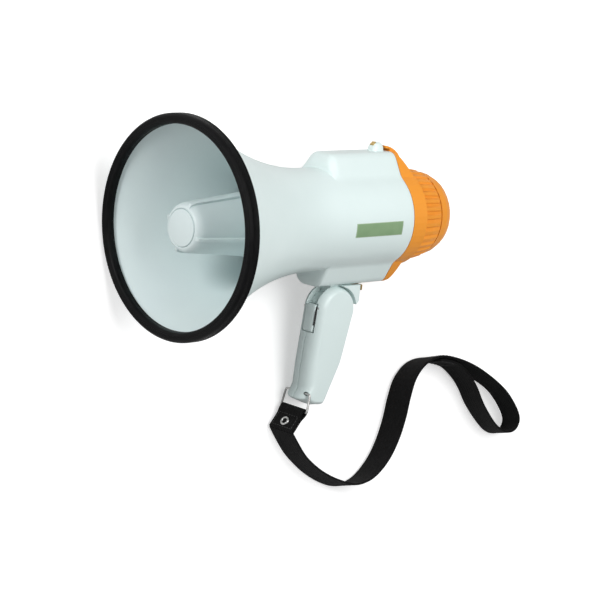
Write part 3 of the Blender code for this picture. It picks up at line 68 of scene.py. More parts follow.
class Nodes:
    """Short calls for building one material's node tree."""

    def __init__(self, name):
        self.material = bpy.data.materials.new(name)
        self.material.use_nodes = True
        self.tree = self.material.node_tree
        self.shader = self.tree.nodes["Principled BSDF"]

    def add(self, kind, **settings):
        node = self.tree.nodes.new(kind)
        for key, value in settings.items():
            setattr(node, key, value)
        return node

    def link(self, source, target):
        self.tree.links.new(source, target)

    def value(self, target, source):
        if isinstance(source, (int, float, tuple)):
            target.default_value = source
        else:
            self.link(source, target)

    def math(self, operation, a, b=0.0, clamp=False):
        node = self.add("ShaderNodeMath", operation=operation, use_clamp=clamp)
        self.value(node.inputs[0], a)
        self.value(node.inputs[1], b)
        return node.outputs[0]

    def place(self):
        return self.add("ShaderNodeTexCoord").outputs["Object"]

    def uv(self):
        return self.add("ShaderNodeUVMap", uv_map="UVMap").outputs["UV"]

    def split(self, vector):
        node = self.add("ShaderNodeSeparateXYZ")
        self.link(vector, node.inputs[0])
        return node.outputs

    def held(self):
        """Coordinates of the as-held frame, in metres: x, y, z outputs."""
        offset = self.add("ShaderNodeVectorMath", operation="SUBTRACT")
        self.link(self.place(), offset.inputs[0])
        offset.inputs[1].default_value = MOUTH
        found = []
        for axis in (AXIS_X, AXIS_Y, AXIS_Z):
            dot = self.add("ShaderNodeVectorMath", operation="DOT_PRODUCT")
            self.link(offset.outputs[0], dot.inputs[0])
            dot.inputs[1].default_value = axis
            found.append(dot.outputs["Value"])
        return found

    def noise(self, scale, detail=3.0, rough=0.5, vector=None):
        node = self.add("ShaderNodeTexNoise")
        self.link(vector or self.place(), node.inputs["Vector"])
        node.inputs["Scale"].default_value = scale
        node.inputs["Detail"].default_value = detail
        node.inputs["Roughness"].default_value = rough
        return node.outputs["Fac"]

    def ramp(self, source, low, high, a, b):
        node = self.add("ShaderNodeMapRange", clamp=True)
        self.link(source, node.inputs["Value"])
        for key, value in (("From Min", low), ("From Max", high), ("To Min", a), ("To Max", b)):
            node.inputs[key].default_value = value
        return node.outputs["Result"]

    def mix(self, factor, a, b):
        node = self.add("ShaderNodeMix", data_type="RGBA")
        self.value(node.inputs["Factor"], factor)
        for socket, colour in ((node.inputs["A"], a), (node.inputs["B"], b)):
            self.value(socket, (*colour, 1.0) if isinstance(colour, tuple) else colour)
        return node.outputs["Result"]

    def bump(self, height, distance, strength=1.0, before=None):
        node = self.add("ShaderNodeBump")
        self.link(height, node.inputs["Height"])
        node.inputs["Distance"].default_value = distance
        node.inputs["Strength"].default_value = strength
        if before is not None:
            self.link(before, node.inputs["Normal"])
        return node.outputs["Normal"]

    def set(self, **sockets):
        for key, source in sockets.items():
            socket = self.shader.inputs[key.replace("_", " ")]
            if isinstance(source, tuple) and len(source) == 3:
                source = (*source, 1.0)
            self.value(socket, source)
        return self.material


def moulded(name, colour, shade, dust, rough=0.37, coat=0.15, grain=0.00004):
    """Injection-moulded plastic: cloudy pigment, fine spark texture, faint handling marks."""
    n = Nodes(name)
    cloud = n.ramp(n.noise(34, 3, 0.5), 0.2, 0.8, 0.0, 1.0)
    base = n.mix(cloud, colour, shade)
    speck = n.ramp(n.noise(900, 2, 0.6), 0.6, 0.8, 0.0, 0.22)
    base = n.mix(speck, base, dust)
    smear = n.ramp(n.noise(22, 4, 0.6), 0.2, 0.8, rough - 0.06, rough + 0.12)
    fine = n.bump(n.noise(2000, 2, 0.5), grain, 0.3)
    wavy = n.bump(n.noise(40, 1, 0.4), 0.00012, 0.25, fine)
    return n.set(Base_Color=base, Roughness=smear, Normal=wavy, Coat_Weight=coat, Coat_Roughness=0.18)


def rubber():
    """Dark rubber with fine grooves round the mouth and a dry, slightly dusty surface."""
    n = Nodes("rim_rubber")
    x, y, z = n.held()
    radius = n.math("SQRT", n.math("ADD", n.math("MULTIPLY", x, x), n.math("MULTIPLY", z, z)))
    groove = n.math("SINE", n.math("MULTIPLY", n.math("ADD", radius, y), math.tau / (0.9 * MM)))
    dry = n.ramp(n.noise(120, 5, 0.6), 0.4, 0.75, 0.0, 1.0)
    base = n.mix(dry, (0.003, 0.0032, 0.0035), (0.006, 0.006, 0.0064))
    rough = n.ramp(n.noise(60, 4, 0.6), 0.3, 0.7, 0.36, 0.54)
    rings = n.bump(groove, 0.00008, 0.7)
    skin = n.bump(n.noise(1500, 3, 0.6), 0.00006, 0.6, rings)
    return n.set(Base_Color=base, Roughness=rough, Normal=skin, Specular_IOR_Level=0.09)


def webbing(name, along_pitch=1.15 * MM, across_pitch=1.5 * MM):
    """Black woven webbing: weft ribs, a herringbone of warp yarns, painted shade in the weave's hollows, fuzz and
    sheen. UV is in metres.
    """
    n = Nodes(name)
    u, v, _ = n.split(n.uv())
    column = n.math("MULTIPLY", v, 1 / across_pitch)
    zigzag = n.math("PINGPONG", column, 1.0)
    slant = n.math("ADD", n.math("MULTIPLY", u, 1 / along_pitch), zigzag)
    weft = n.math("SINE", n.math("MULTIPLY", slant, math.tau))
    warp = n.math("ABSOLUTE", n.math("SINE", n.math("MULTIPLY", column, math.pi)))
    height = n.math("MULTIPLY", n.math("ADD", weft, 1.2), n.math("POWER", warp, 0.6))
    fuzz = n.noise(2200, 3, 0.7)
    # Colour follows the weave's height: painted shade darkens its hollows, its raised crowns stay lighter.
    weave_shade = n.ramp(height, 0.2, 2.0, 0.0, 1.0)
    base = n.mix(weave_shade, (0.0015, 0.0015, 0.0017), (0.0075, 0.0073, 0.0075))
    base = n.mix(n.ramp(fuzz, 0.55, 0.8, 0.0, 0.3), base, (0.022, 0.0215, 0.022))
    woven = n.bump(height, 0.00022, 0.8)
    hairy = n.bump(fuzz, 0.00012, 0.5, woven)
    rough = n.ramp(fuzz, 0.3, 0.7, 0.78, 0.95)
    return n.set(
        Base_Color=base,
        Roughness=rough,
        Normal=hairy,
        Sheen_Weight=0.03,
        Sheen_Roughness=0.5,
        Specular_IOR_Level=0.14,
    )


def thread():
    """Black sewing thread with a fine twist."""
    n = Nodes("sewing_thread")
    twist = n.noise(5200, 2, 0.5)
    base = n.mix(n.ramp(twist, 0.35, 0.65, 0.0, 1.0), (0.012, 0.012, 0.013), (0.045, 0.045, 0.046))
    rough = n.ramp(twist, 0.3, 0.7, 0.5, 0.75)
    return n.set(Base_Color=base, Roughness=rough, Normal=n.bump(twist, 0.0001, 0.6))


def metal(name, colour, shade, rough):
    """Drawn or plated metal with fine scratches and dulled patches."""
    n = Nodes(name)
    stretch = n.add("ShaderNodeMapping")
    stretch.inputs["Scale"].default_value = (1.0, 9.0, 1.0)
    n.link(n.place(), stretch.inputs["Vector"])
    scratch = n.noise(1400, 3, 0.6, stretch.outputs[0])
    patch = n.ramp(n.noise(160, 4, 0.6), 0.4, 0.7, 0.0, 1.0)
    base = n.mix(patch, colour, shade)
    coarse = n.ramp(scratch, 0.3, 0.7, rough - 0.08, rough + 0.12)
    return n.set(Base_Color=base, Metallic=1.0, Roughness=coarse, Normal=n.bump(scratch, 0.00003, 0.5))


def bare_plate(height_share=0.22):
    """Sage-green plate with a faint grain and paler edges. Its height is a share of its length."""
    n = Nodes("bare_plate")
    u, v, _ = n.split(n.uv())
    grain = n.noise(1800, 3, 0.6)
    cloud = n.noise(90, 3, 0.5)
    base = n.mix(n.ramp(cloud, 0.35, 0.65, 0.0, 1.0), (0.2, 0.325, 0.17), (0.225, 0.35, 0.19))
    base = n.mix(n.ramp(grain, 0.55, 0.75, 0.0, 0.3), base, (0.3, 0.42, 0.26))
    edge_u = n.math("MINIMUM", u, n.math("SUBTRACT", 1.0, u))
    edge_v = n.math("MINIMUM", v, n.math("SUBTRACT", 1.0, v))
    edge_v = n.math("MULTIPLY", edge_v, height_share)
    # Paler band along the plate's edges.
    pale_edge_band = n.ramp(n.math("MINIMUM", edge_u, edge_v), 0.004, 0.012, 0.75, 0.0)
    base = n.mix(pale_edge_band, base, (0.42, 0.52, 0.38))
    rough = n.ramp(grain, 0.3, 0.7, 0.38, 0.55)
    return n.set(Base_Color=base, Roughness=rough, Normal=n.bump(grain, 0.00003, 0.6))


def plain(name, colour, shade, rough, scale=300.0):
    """Inner parts: a mottled, slightly rough surface."""
    n = Nodes(name)
    spot = n.noise(scale, 4, 0.6)
    base = n.mix(n.ramp(spot, 0.35, 0.65, 0.0, 1.0), colour, shade)
    coarse = n.ramp(spot, 0.3, 0.7, rough, rough + 0.15)
    return n.set(Base_Color=base, Roughness=coarse, Normal=n.bump(spot, 0.00005, 0.5))


WHITE = moulded("white_moulding", (0.745, 0.852, 0.84), (0.715, 0.825, 0.812), (0.62, 0.7, 0.69))
# Same white plastic, made duller and bluer for the bell's inside and the reflector: painted blue-lilac shade.
SHADED_BELL_WHITE = moulded(
    "bell_inside_painted_shade", (0.735, 0.835, 0.83), (0.705, 0.8, 0.808), (0.63, 0.71, 0.73), rough=0.42, coat=0.05
)
ORANGE = moulded(
    "orange_moulding", (0.87, 0.325, 0.026), (0.84, 0.3, 0.02), (0.7, 0.23, 0.016), rough=0.5, coat=0.02
)
BLACK = moulded(
    "black_moulding", (0.016, 0.016, 0.018), (0.022, 0.022, 0.024), (0.05, 0.05, 0.05), rough=0.45
)
RUBBER = rubber()
WEBBING = webbing("strap_webbing")
THREAD = thread()
STEEL = metal("plated_steel", (0.58, 0.58, 0.57), (0.48, 0.48, 0.47), 0.26)
BRASS = metal("worn_brass", (0.6, 0.43, 0.17), (0.5, 0.34, 0.13), 0.34)
PLATE = bare_plate()
FERRITE = plain("ferrite", (0.05, 0.05, 0.055), (0.075, 0.075, 0.08), 0.5)
FILM = plain("diaphragm_film", (0.45, 0.28, 0.1), (0.53, 0.35, 0.14), 0.35)
BOARD = plain("circuit_board", (0.022, 0.13, 0.05), (0.035, 0.18, 0.07), 0.4, 700)
JACKET = plain("cell_jacket", (0.04, 0.04, 0.05), (0.06, 0.06, 0.07), 0.3, 200)

NODE_LOOKS = {
    "white_plastic": WHITE, "orange_plastic": ORANGE, "black_rubber": RUBBER, "black_plastic": BLACK,
    "black_webbing": WEBBING, "steel": STEEL, "brass": BRASS, "ferrite": FERRITE, "diaphragm_film": FILM,
    "green_board": BOARD, "cell_jacket": JACKET,
}
for entry in frame["record"]["subparts"]:
    shape = NODES[entry["node"]]
    shape.data.materials.clear()
    shape.data.materials.append(NODE_LOOKS[entry["material_slot"]])
    shape.data.shade_smooth()
    shape.data.set_sharp_from_angle(angle=math.radians(SHARP_ANGLE))


# Mesh helpers, all in as-held coordinates in metres

def closed_mesh(name, points, faces, uvs=None):
    """Mesh with its faces pointing out, and a UV for each point where they are given."""
    mesh = bpy.data.meshes.new(name)
    mesh.from_pydata(points, [], faces)
    work = bmesh.new()
    work.from_mesh(mesh)
    bmesh.ops.recalc_face_normals(work, faces=work.faces)
    if uvs:
        layer = work.loops.layers.uv.new("UVMap")
        for face in work.faces:
            for loop in face.loops:
                loop[layer].uv = uvs[loop.vert.index]
    work.to_mesh(mesh)
    work.free()
    return mesh


def placed(name, data):
    """New object in the scene that holds the data."""
    made = bpy.data.objects.new(name, data)
    bpy.context.scene.collection.objects.link(made)
    return made


def piece(name, points, faces, carrier, material, replaced=(), sharp=SHARP_ANGLE, uvs=None):
    """Finished piece that rides on the body named or, with a tuple, stays where it is made on no body."""
    mesh = closed_mesh(name, [HELD @ Vector(p) for p in points], faces, uvs)
    mesh.materials.append(material)
    mesh.shade_smooth()
    mesh.set_sharp_from_angle(angle=math.radians(sharp))
    made = placed(name, mesh)
    if isinstance(carrier, tuple):
        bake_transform(made)
    else:
        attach(made, carrier)
    if replaced:
        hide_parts(*replaced)
    return made


def skin(rings, looped=False, caps=False):
    """Points and faces of a skin through closed rings of equal counts."""
    count = len(rings[0])
    points = [p for ring in rings for p in ring]
    faces = []
    spans = len(rings) if looped else len(rings) - 1
    for k in range(spans):
        a, b = k * count, (k + 1) % len(rings) * count
        for i in range(count):
            j = (i + 1) % count
            faces.append((a + i, b + i, b + j, a + j))
    if caps:
        faces.append(tuple(range(count)))
        last = (len(rings) - 1) * count
        faces.append(tuple(last + i for i in reversed(range(count))))
    return points, faces


def mirrored(rings):
    """Rings up to the middle plane, followed by their mirror images beyond it."""
    return rings + [[(-x, y, z) for x, y, z in ring] for ring in reversed(rings[:-1])]


def spread(low, high, count):
    """Values at an even step from low to high, both included."""
    return [low + (high - low) * i / count for i in range(count + 1)]


def around(steps):
    """Angles at an even step round a full turn."""
    return [math.tau * i / steps for i in range(steps)]


def ring_at(y, radius_of, angles):
    """Ring round the horn's axis, with a radius for each angle."""
    found = []
    for t in angles:
        r = radius_of(t)
        found.append((r * math.cos(t), y, r * math.sin(t)))
    return found


def revolved(profile, steps):
    """Rings round the horn's axis through a profile of (radius, distance) in millimetres."""
    return [ring_at(y * MM, lambda t: r * MM, around(steps)) for r, y in profile]


def smooth_max(a, b, k):
    """The larger of two values, rounded where they come within k of each other."""
    h = max(k - abs(a - b), 0.0) / k
    return max(a, b) + h * h * k / 4


# Body dimensions, as in the part's source
LIP_RADIUS, LIP_FRONT, LIP_LENGTH = 75.3 * MM, 2.7 * MM, 6.5 * MM
BELL_END, BELL_FLARE, BODY_RADIUS, WALL = 120 * MM, 1.95, 37 * MM, 2.2 * MM
SEAM, BULKHEAD_FRONT, BULKHEAD_REAR = 197 * MM, 112 * MM, 115 * MM
LOBE_FRONT, LOBE_REACH, LOBE_TOP, LOBE_SLOPE = 131 * MM, 48 * MM, 10.5 * MM, 9.5 / 17
LOBE_CORNER = 8 * MM
THROAT_HOLE = 9.8 * MM

# Rolled edges and blends of the finished surface
EDGE_ROLL, LOBE_FILLET, LOBE_MARGIN = 0.35 * MM, 1.6 * MM, 3 * MM
LOBE_LEAD, LOBE_TOP_ROLL, LOBE_LOW_ROLL = 0.4 * MM, 7 * MM, 2.2 * MM

# Where the horn's skin has rings along its ridges and its lining, in millimetres from the mouth
LOBE_STATIONS = (
    124, 128, 130.4, 130.62, 130.75, 130.95, 131.2, 131.6, 132.1, 132.8, 133.6, 134.4, 135.4, 136.5, 137.6,
)
LOBE_END = 196.3
LINING_STATIONS = (190, 160, 140, 136, 134, 133.2, 132.8, 132)


def bell_radius(y):
    """Outer radius of the flared bell and of the round body behind it."""
    share = min(max((y - LIP_LENGTH) / (BELL_END - LIP_LENGTH), 0), 1)
    return BODY_RADIUS + (LIP_RADIUS - BODY_RADIUS) * (1 - share) ** BELL_FLARE


def lobe_radius(angle, inset=0.0):
    """Radius of the moulded ridge in a direction round the axis, or 0 away from it."""
    c, s = abs(math.cos(angle)), abs(math.sin(angle))
    if s < 0.5:
        return 0.0
    slant = math.hypot(1, LOBE_SLOPE)
    out = (1 / slant, LOBE_SLOPE / slant)
    reach = LOBE_REACH - inset
    edge = (LOBE_TOP + LOBE_SLOPE * LOBE_REACH) / slant - inset
    curve = LOBE_CORNER - inset
    corner_z = reach - curve
    corner_x = (edge - curve - out[1] * corner_z) / out[0]
    top = reach / s
    if top * c <= corner_x:
        return top
    side = edge / (out[0] * c + out[1] * s)
    if (side * c - corner_x) * out[1] - (side * s - corner_z) * out[0] >= 0:
        return side
    along = corner_x * c + corner_z * s
    return along + math.sqrt(max(along * along - corner_x**2 - corner_z**2 + curve * curve, 0))


def body_radius(angle, y, inset=0.0):
    """Radius of the body with its ridges, which roll over at their front ends."""
    round_part = bell_radius(y) - inset
    start = LOBE_FRONT + inset - LOBE_LEAD
    if y <= start:
        return round_part
    lobe = lobe_radius(angle, inset)
    if lobe <= round_part - LOBE_MARGIN:
        return round_part
    roll = LOBE_TOP_ROLL if math.sin(angle) > 0 else LOBE_LOW_ROLL
    t = min(max((y - start) / roll, 0), 1)
    rise = math.sqrt(1 - (1 - t) ** 2)
    full = smooth_max(round_part, lobe, LOBE_FILLET)
    return round_part + (full - round_part) * rise


def make_horn():
    """Horn body with bell, ridges and bulkhead: white outside, and inside the bell a duller white tinted
    blue-lilac as painted shade.
    """
    angles = around(288)
    bell_steps, lobe_steps, lining_steps = 44, 16, 40
    lip_edge, lip_start = LIP_FRONT + 0.2 * MM, LIP_FRONT + 0.8 * MM
    rings = []

    def outer(y, drop=0.0):
        rings.append(ring_at(y, lambda t: body_radius(t, y) - drop, angles))

    def inner(y, radius_of):
        rings.append(ring_at(y, radius_of, angles))

    outer(lip_edge, EDGE_ROLL)
    outer(lip_start)
    for i in range(bell_steps + 1):
        outer(LIP_LENGTH + (BELL_END - LIP_LENGTH) * (i / bell_steps) ** 1.25)
    for station in LOBE_STATIONS:
        outer(station * MM)
    for station in spread(LOBE_STATIONS[-1], LOBE_END, lobe_steps)[1:]:
        outer(station * MM)
    outer(SEAM - 0.25 * MM, 0.08 * MM)
    outer(SEAM, EDGE_ROLL)
    for y in (SEAM, *(station * MM for station in LINING_STATIONS), BULKHEAD_REAR):
        inner(y, lambda t: body_radius(t, y, WALL))
    inner(BULKHEAD_REAR, lambda t: THROAT_HOLE)
    inner(BULKHEAD_FRONT, lambda t: THROAT_HOLE)
    for i in range(lining_steps + 1):
        y = BULKHEAD_FRONT + (LIP_LENGTH - BULKHEAD_FRONT) * (i / lining_steps) ** 0.85
        inner(y, lambda t: bell_radius(y) - WALL)
    inner(lip_start, lambda t: LIP_RADIUS - WALL)
    inner(lip_edge, lambda t: LIP_RADIUS - WALL + EDGE_ROLL)
    points, faces = skin(rings, looped=True)
    made = piece("horn_moulding", points, faces, "housing", WHITE, ["horn_body"], sharp=48)
    made.data.materials.append(SHADED_BELL_WHITE)
    back = HELD.inverted()
    for face in made.data.polygons:
        middle = back @ face.center
        lining = bell_radius(middle.y) - WALL / 2
        if middle.y < BULKHEAD_FRONT + MM and math.hypot(middle.x, middle.z) < lining:
            face.material_index = 1


def make_rim():
    """Rubber ring: flat front, rolled edges and fine grooves on its front and round its outside."""
    front_grooves, front_pitch, side_grooves, side_pitch = 3, 0.85, 6, 1.0
    profile = [(70.6, 6.0), (70.6, 2.6), (70.8, 1.7), (71.3, 0.9), (72.0, 0.35), (72.8, 0.0)]
    for i in range(front_grooves):
        start = 73.15 + i * front_pitch
        profile += [(start, 0.0), (start + 0.15, 0.16), (start + 0.4, 0.16), (start + 0.55, 0.0)]
    profile += [(75.8, 0.0), (76.6, 0.2), (77.2, 0.6), (77.65, 1.2), (77.9, 1.9)]
    for i in range(side_grooves):
        start = 2.2 + i * side_pitch
        profile += [(78.0, start), (78.0, start + 0.55), (77.72, start + 0.7), (77.72, start + 0.85)]
    profile += [(78.0, 8.05), (77.8, 8.35), (77.4, 8.55), (75.9, 8.6), (75.6, 8.45)]
    profile += [(75.6, 2.4), (72.8, 2.4), (72.8, 6.0)]
    points, faces = skin(revolved(profile, 160), looped=True)
    piece("rim_rubber_ring", points, faces, "housing", RUBBER, ["rim_bumper"])


# Reflector, in millimetres
REFLECTOR_FRONT, REFLECTOR_REAR, REFLECTOR_FRONT_RADIUS, REFLECTOR_REAR_RADIUS = 7, 90, 17, 25
RIDGE_COUNT, RIDGE_FIRST_ANGLE = 4, -18
RIDGE_SECTION = ((-1.3, 0.3), (-1.05, 0.0), (1.05, 0.0), (1.3, 0.3))


def reflector_radius(y):
    """Outer radius of the reflector's tube, which widens towards its rear."""
    share = min((y - REFLECTOR_FRONT) / (REFLECTOR_REAR - REFLECTOR_FRONT), 1)
    return REFLECTOR_FRONT_RADIUS + (REFLECTOR_REAR_RADIUS - REFLECTOR_FRONT_RADIUS) * share


def make_reflector():
    """Tube inside the bell: a nose disc in a groove, a rolled front edge and four thin ridges."""
    nose = [(0.05, 7.0), (12.3, 7.0), (12.75, 7.15), (12.9, 7.5), (12.95, 8.6), (13.35, 8.6), (13.4, 7.75)]
    nose += [(13.7, 7.5), (14.4, 7.62), (15.2, 8.1), (15.95, 8.9), (16.6, 10.0), (17.1, 11.2), (17.4, 12.2)]
    tube = [(reflector_radius(y), y) for y in (13, 20, 30, 45, 60, 75, 88)]
    tube += [(25.0, 89.7), (24.8, 90.0), (23.4, 90.0), (23.2, 89.7), (17.0, 20.0), (15.2, 16.0), (0.05, 16.0)]
    points, faces = skin(revolved(nose + tube, 96), caps=True)
    shells = ["reflector_tube", "reflector_cap"]
    # The reflector takes the bell's painted blue-lilac shade.
    piece("reflector_shell", points, faces, "housing", SHADED_BELL_WHITE, shells)
    top = [(8.0, 15.4), (8.2, 16.8), (9.2, 18.1), (12.4, 19.0), (13.2, 19.3), (90, 27.0), (111.7, 27.0)]
    low = [(111.7, 20.5), (94, 20.5), (87, 24.0), (12.5, 16.4)]
    for k in range(RIDGE_COUNT):
        angle = math.radians(RIDGE_FIRST_ANGLE + 360 / RIDGE_COUNT * k)
        out = Vector((math.cos(angle), 0, math.sin(angle)))
        side = Vector((-math.sin(angle), 0, math.cos(angle)))
        rings = []
        for across, drop in RIDGE_SECTION:
            outline = [(y, r - drop) for y, r in top] + low
            rings.append([(out * r + Vector((0, y, 0)) + side * across) * MM for y, r in outline])
        points, faces = skin(rings, caps=True)
        piece(f"reflector_ridge_{k + 1}", points, faces, "housing", SHADED_BELL_WHITE)


def make_bump():
    """Moulded hump in front of the cover's latch, with a brass slug on its front slope."""
    stations = (
        (182.4, 2.6, -0.4), (182.7, 3.1, 1.6), (183.2, 3.6, 3.2), (183.9, 4.0, 4.4), (185.0, 4.3, 5.4),
        (186.5, 4.5, 6.2), (188.3, 4.5, 6.5), (189.9, 4.5, 6.2), (191.2, 4.3, 5.4), (192.0, 4.0, 4.2),
        (192.5, 3.5, 2.6), (192.7, 3.0, 0.8), (192.8, 2.6, -0.4),
    )
    base = LOBE_REACH - 1.2 * MM
    rings = []
    for y, half, rise in stations:
        high = LOBE_REACH + rise * MM - base
        ring = []
        for t in spread(0, math.pi, 24):
            across = math.copysign(abs(math.cos(t)) ** 0.55, math.cos(t))
            ring.append((half * MM * across, y * MM, base + high * math.sin(t) ** 0.6))
        rings.append(ring)
    points, faces = skin(rings, caps=True)
    piece("latch_bump", points, faces, "housing", WHITE, sharp=50)
    slug_half, slug_front, slug_rear, slug_taper = 1.8, (183.8, 51.7), (186.4, 53.7), 0.9
    foot = [(slug_half, *slug_front), (slug_half, *slug_rear)]
    foot += [(-slug_half, *slug_rear), (-slug_half, *slug_front)]
    low = [tuple(c * MM for c in corner) for corner in foot]
    high = [(x * slug_taper, y - 0.6 * MM, z + 0.95 * MM) for x, y, z in low]
    points, faces = skin([low, high], caps=True)
    piece("latch_bump_slug", points, faces, "housing", BRASS)


def rolled_bar(name, outline, half, roll, body, material):
    """Bar across the part from a clockwise outline (y, z) in millimetres, with its side edges rolled over."""
    count = len(outline)
    inward = []
    for i in range(count):
        ahead = Vector(outline[(i + 1) % count]) - Vector(outline[i - 1])
        inward.append(Vector((ahead.y, -ahead.x)).normalized())
    rings = []
    for x, drop in ((-half, roll), (-half + 0.3 * roll, 0.3 * roll), (-half + roll, 0), (0, 0)):
        ring = [Vector(p) + way * drop for p, way in zip(outline, inward)]
        rings.append([(x * MM, p.x * MM, p.y * MM) for p in ring])
    points, faces = skin(mirrored(rings), caps=True)
    piece(name, points, faces, body, material, sharp=40)


def make_latch_tab():
    """Thumb tab on the cover's latch: it reaches forward over the seam."""
    half_width, roll = 4.7, 0.5
    upper = [(194.2, 50.6), (194.35, 51.2), (194.8, 51.55), (196.0, 51.6), (199.0, 50.8), (202.0, 49.5)]
    upper += [(204.5, 48.0), (207.0, 46.0), (208.8, 44.0), (209.8, 42.4), (209.9, 41.6), (209.3, 40.7)]
    lower = [(207.0, 42.4), (205.6, 42.9), (204.0, 43.4), (201.0, 46.0), (198.1, 47.6), (197.9, 49.2)]
    lower += [(197.3, 49.75), (194.7, 49.9)]
    rolled_bar("latch_thumb_tab", upper + lower, half_width, roll, "cover_latch", ORANGE)


PLATE_START, PLATE_END, PLATE_LOW, PLATE_HIGH = 138.8 * MM, 185.3 * MM, -7.4 * MM, 2.7 * MM
PLATE_THICKNESS, PLATE_EDGE_DROP, PLATE_SINK = 0.45 * MM, 0.12 * MM, 0.05 * MM


def make_plate():
    """Bare plate on the near side, curved to the body, with its edges a little lower."""
    across, along = 12, 24
    points, uvs = [], []
    for lift in (PLATE_THICKNESS, 0.0):
        for i in range(along + 1):
            for k in range(across + 1):
                u, v = i / along, k / across
                at_edge = i in (0, along) or k in (0, across)
                rise = lift - (PLATE_EDGE_DROP if at_edge and lift else 0.0)
                z = PLATE_LOW + (PLATE_HIGH - PLATE_LOW) * v
                x = math.sqrt(BODY_RADIUS**2 - z * z) + rise - PLATE_SINK
                points.append((x, PLATE_START + (PLATE_END - PLATE_START) * u, z))
                uvs.append((u, v))

    def at(layer, i, k):
        return (layer * (along + 1) + i) * (across + 1) + k

    faces = []
    for i in range(along):
        for k in range(across):
            faces.append((at(0, i, k), at(0, i + 1, k), at(0, i + 1, k + 1), at(0, i, k + 1)))
            faces.append((at(1, i, k), at(1, i, k + 1), at(1, i + 1, k + 1), at(1, i + 1, k)))
    for i in range(along):
        for k in (0, across):
            faces.append((at(0, i, k), at(0, i + 1, k), at(1, i + 1, k), at(1, i, k)))
    for k in range(across):
        for i in (0, along):
            faces.append((at(0, i, k), at(0, i, k + 1), at(1, i, k + 1), at(1, i, k)))
    piece("side_plate", points, faces, "housing", PLATE, uvs=uvs)


# Handle: the outline of the part's source with a softer roll from its front to its sides
PIVOT_Y, PIVOT_Z, HEAD_RADIUS = 153.5 * MM, -66.8 * MM, 18 * MM
HANDLE_HALF, FOOT_HALF = 11 * MM, 10.8 * MM
HANDLE_BOTTOM, FOOT_FRONT, FOOT_REAR = -136.8 * MM, 130 * MM, 149 * MM


def filleted(corners, steps=8):
    """A closed outline from (u, v, radius) corners, each rounded by its own radius."""
    points = []
    for i, (u, v, radius) in enumerate(corners):
        here = Vector((u, v))
        if radius <= 0:
            points.append((u, v))
            continue
        back = (Vector(corners[i - 1][:2]) - here).normalized()
        ahead = (Vector(corners[(i + 1) % len(corners)][:2]) - here).normalized()
        half = back.angle(ahead) / 2
        centre = here + (back + ahead).normalized() * (radius / math.sin(half))
        start = here + back * (radius / math.tan(half)) - centre
        sweep = start.angle_signed(here + ahead * (radius / math.tan(half)) - centre)
        for k in range(steps + 1):
            points.append(tuple(centre + Matrix.Rotation(-sweep * k / steps, 2) @ start))
    return points


def grip_outline(inset):
    """Outline set in by a distance at the front, and by a third of it at the rear."""
    corners = []
    rear = inset * 0.34
    for i in range(41):
        a = math.radians(-4 + 188 * i / 40)
        radius = HEAD_RADIUS - rear - (inset - rear) * (0.5 - 0.5 * math.cos(a)) ** 1.5
        corners.append((PIVOT_Y + radius * math.cos(a), PIVOT_Z + radius * math.sin(a), 0))
    middle = PIVOT_Z - 38.5 * MM
    corners += [
        (PIVOT_Y - 22.44 * MM + inset, middle, 14 * MM),
        (FOOT_FRONT + inset, HANDLE_BOTTOM + 14 * MM + inset * 0.25, 8 * MM),
        (FOOT_FRONT - 4.5 * MM + inset, HANDLE_BOTTOM + 6.5 * MM + inset * 0.3, 1.5 * MM),
        (FOOT_FRONT + 8.55 * MM, HANDLE_BOTTOM + MM + inset * 0.5, 6 * MM),
        (FOOT_REAR - rear, HANDLE_BOTTOM + inset * 0.5, 3 * MM),
        (PIVOT_Y + HEAD_RADIUS * 0.5 - rear, middle, 30 * MM),
    ]
    return filleted(corners)


def solid(points, faces):
    """Helper object for cutting."""
    return placed("cutter", closed_mesh("cutter", points, faces))


def block(low, high):
    """Points and faces of a box between two corners in millimetres."""
    corners = [(x, y, z) for x in (low[0], high[0]) for y in (low[1], high[1]) for z in (low[2], high[2])]
    faces = [(0, 1, 3, 2), (4, 6, 7, 5), (0, 4, 5, 1), (2, 3, 7, 6), (0, 2, 6, 4), (1, 5, 7, 3)]
    return [tuple(c * MM for c in corner) for corner in corners], faces


def cross_rod(radius, y, z, low, high, steps=40):
    """Points and faces of a rod across the part, in millimetres."""
    rings = []
    for x in (low, high):
        circle = [(x, y + radius * math.cos(t), z + radius * math.sin(t)) for t in around(steps)]
        rings.append([tuple(c * MM for c in point) for point in circle])
    return skin(rings, caps=True)


def carved(points, faces, cutters):
    """Points and faces after each cutter is taken away."""
    target = solid(points, faces)
    others = [solid(*cutter) for cutter in cutters]
    for other in others:
        cut = target.modifiers.new("cut", "BOOLEAN")
        cut.operation = "DIFFERENCE"
        cut.solver = "EXACT"
        cut.object = other
    graph = bpy.context.evaluated_depsgraph_get()
    mesh = bpy.data.meshes.new_from_object(target.evaluated_get(graph))
    found = [tuple(v.co) for v in mesh.vertices], [tuple(face.vertices) for face in mesh.polygons]
    for made in [target] + others:
        bpy.data.objects.remove(made)
    return found


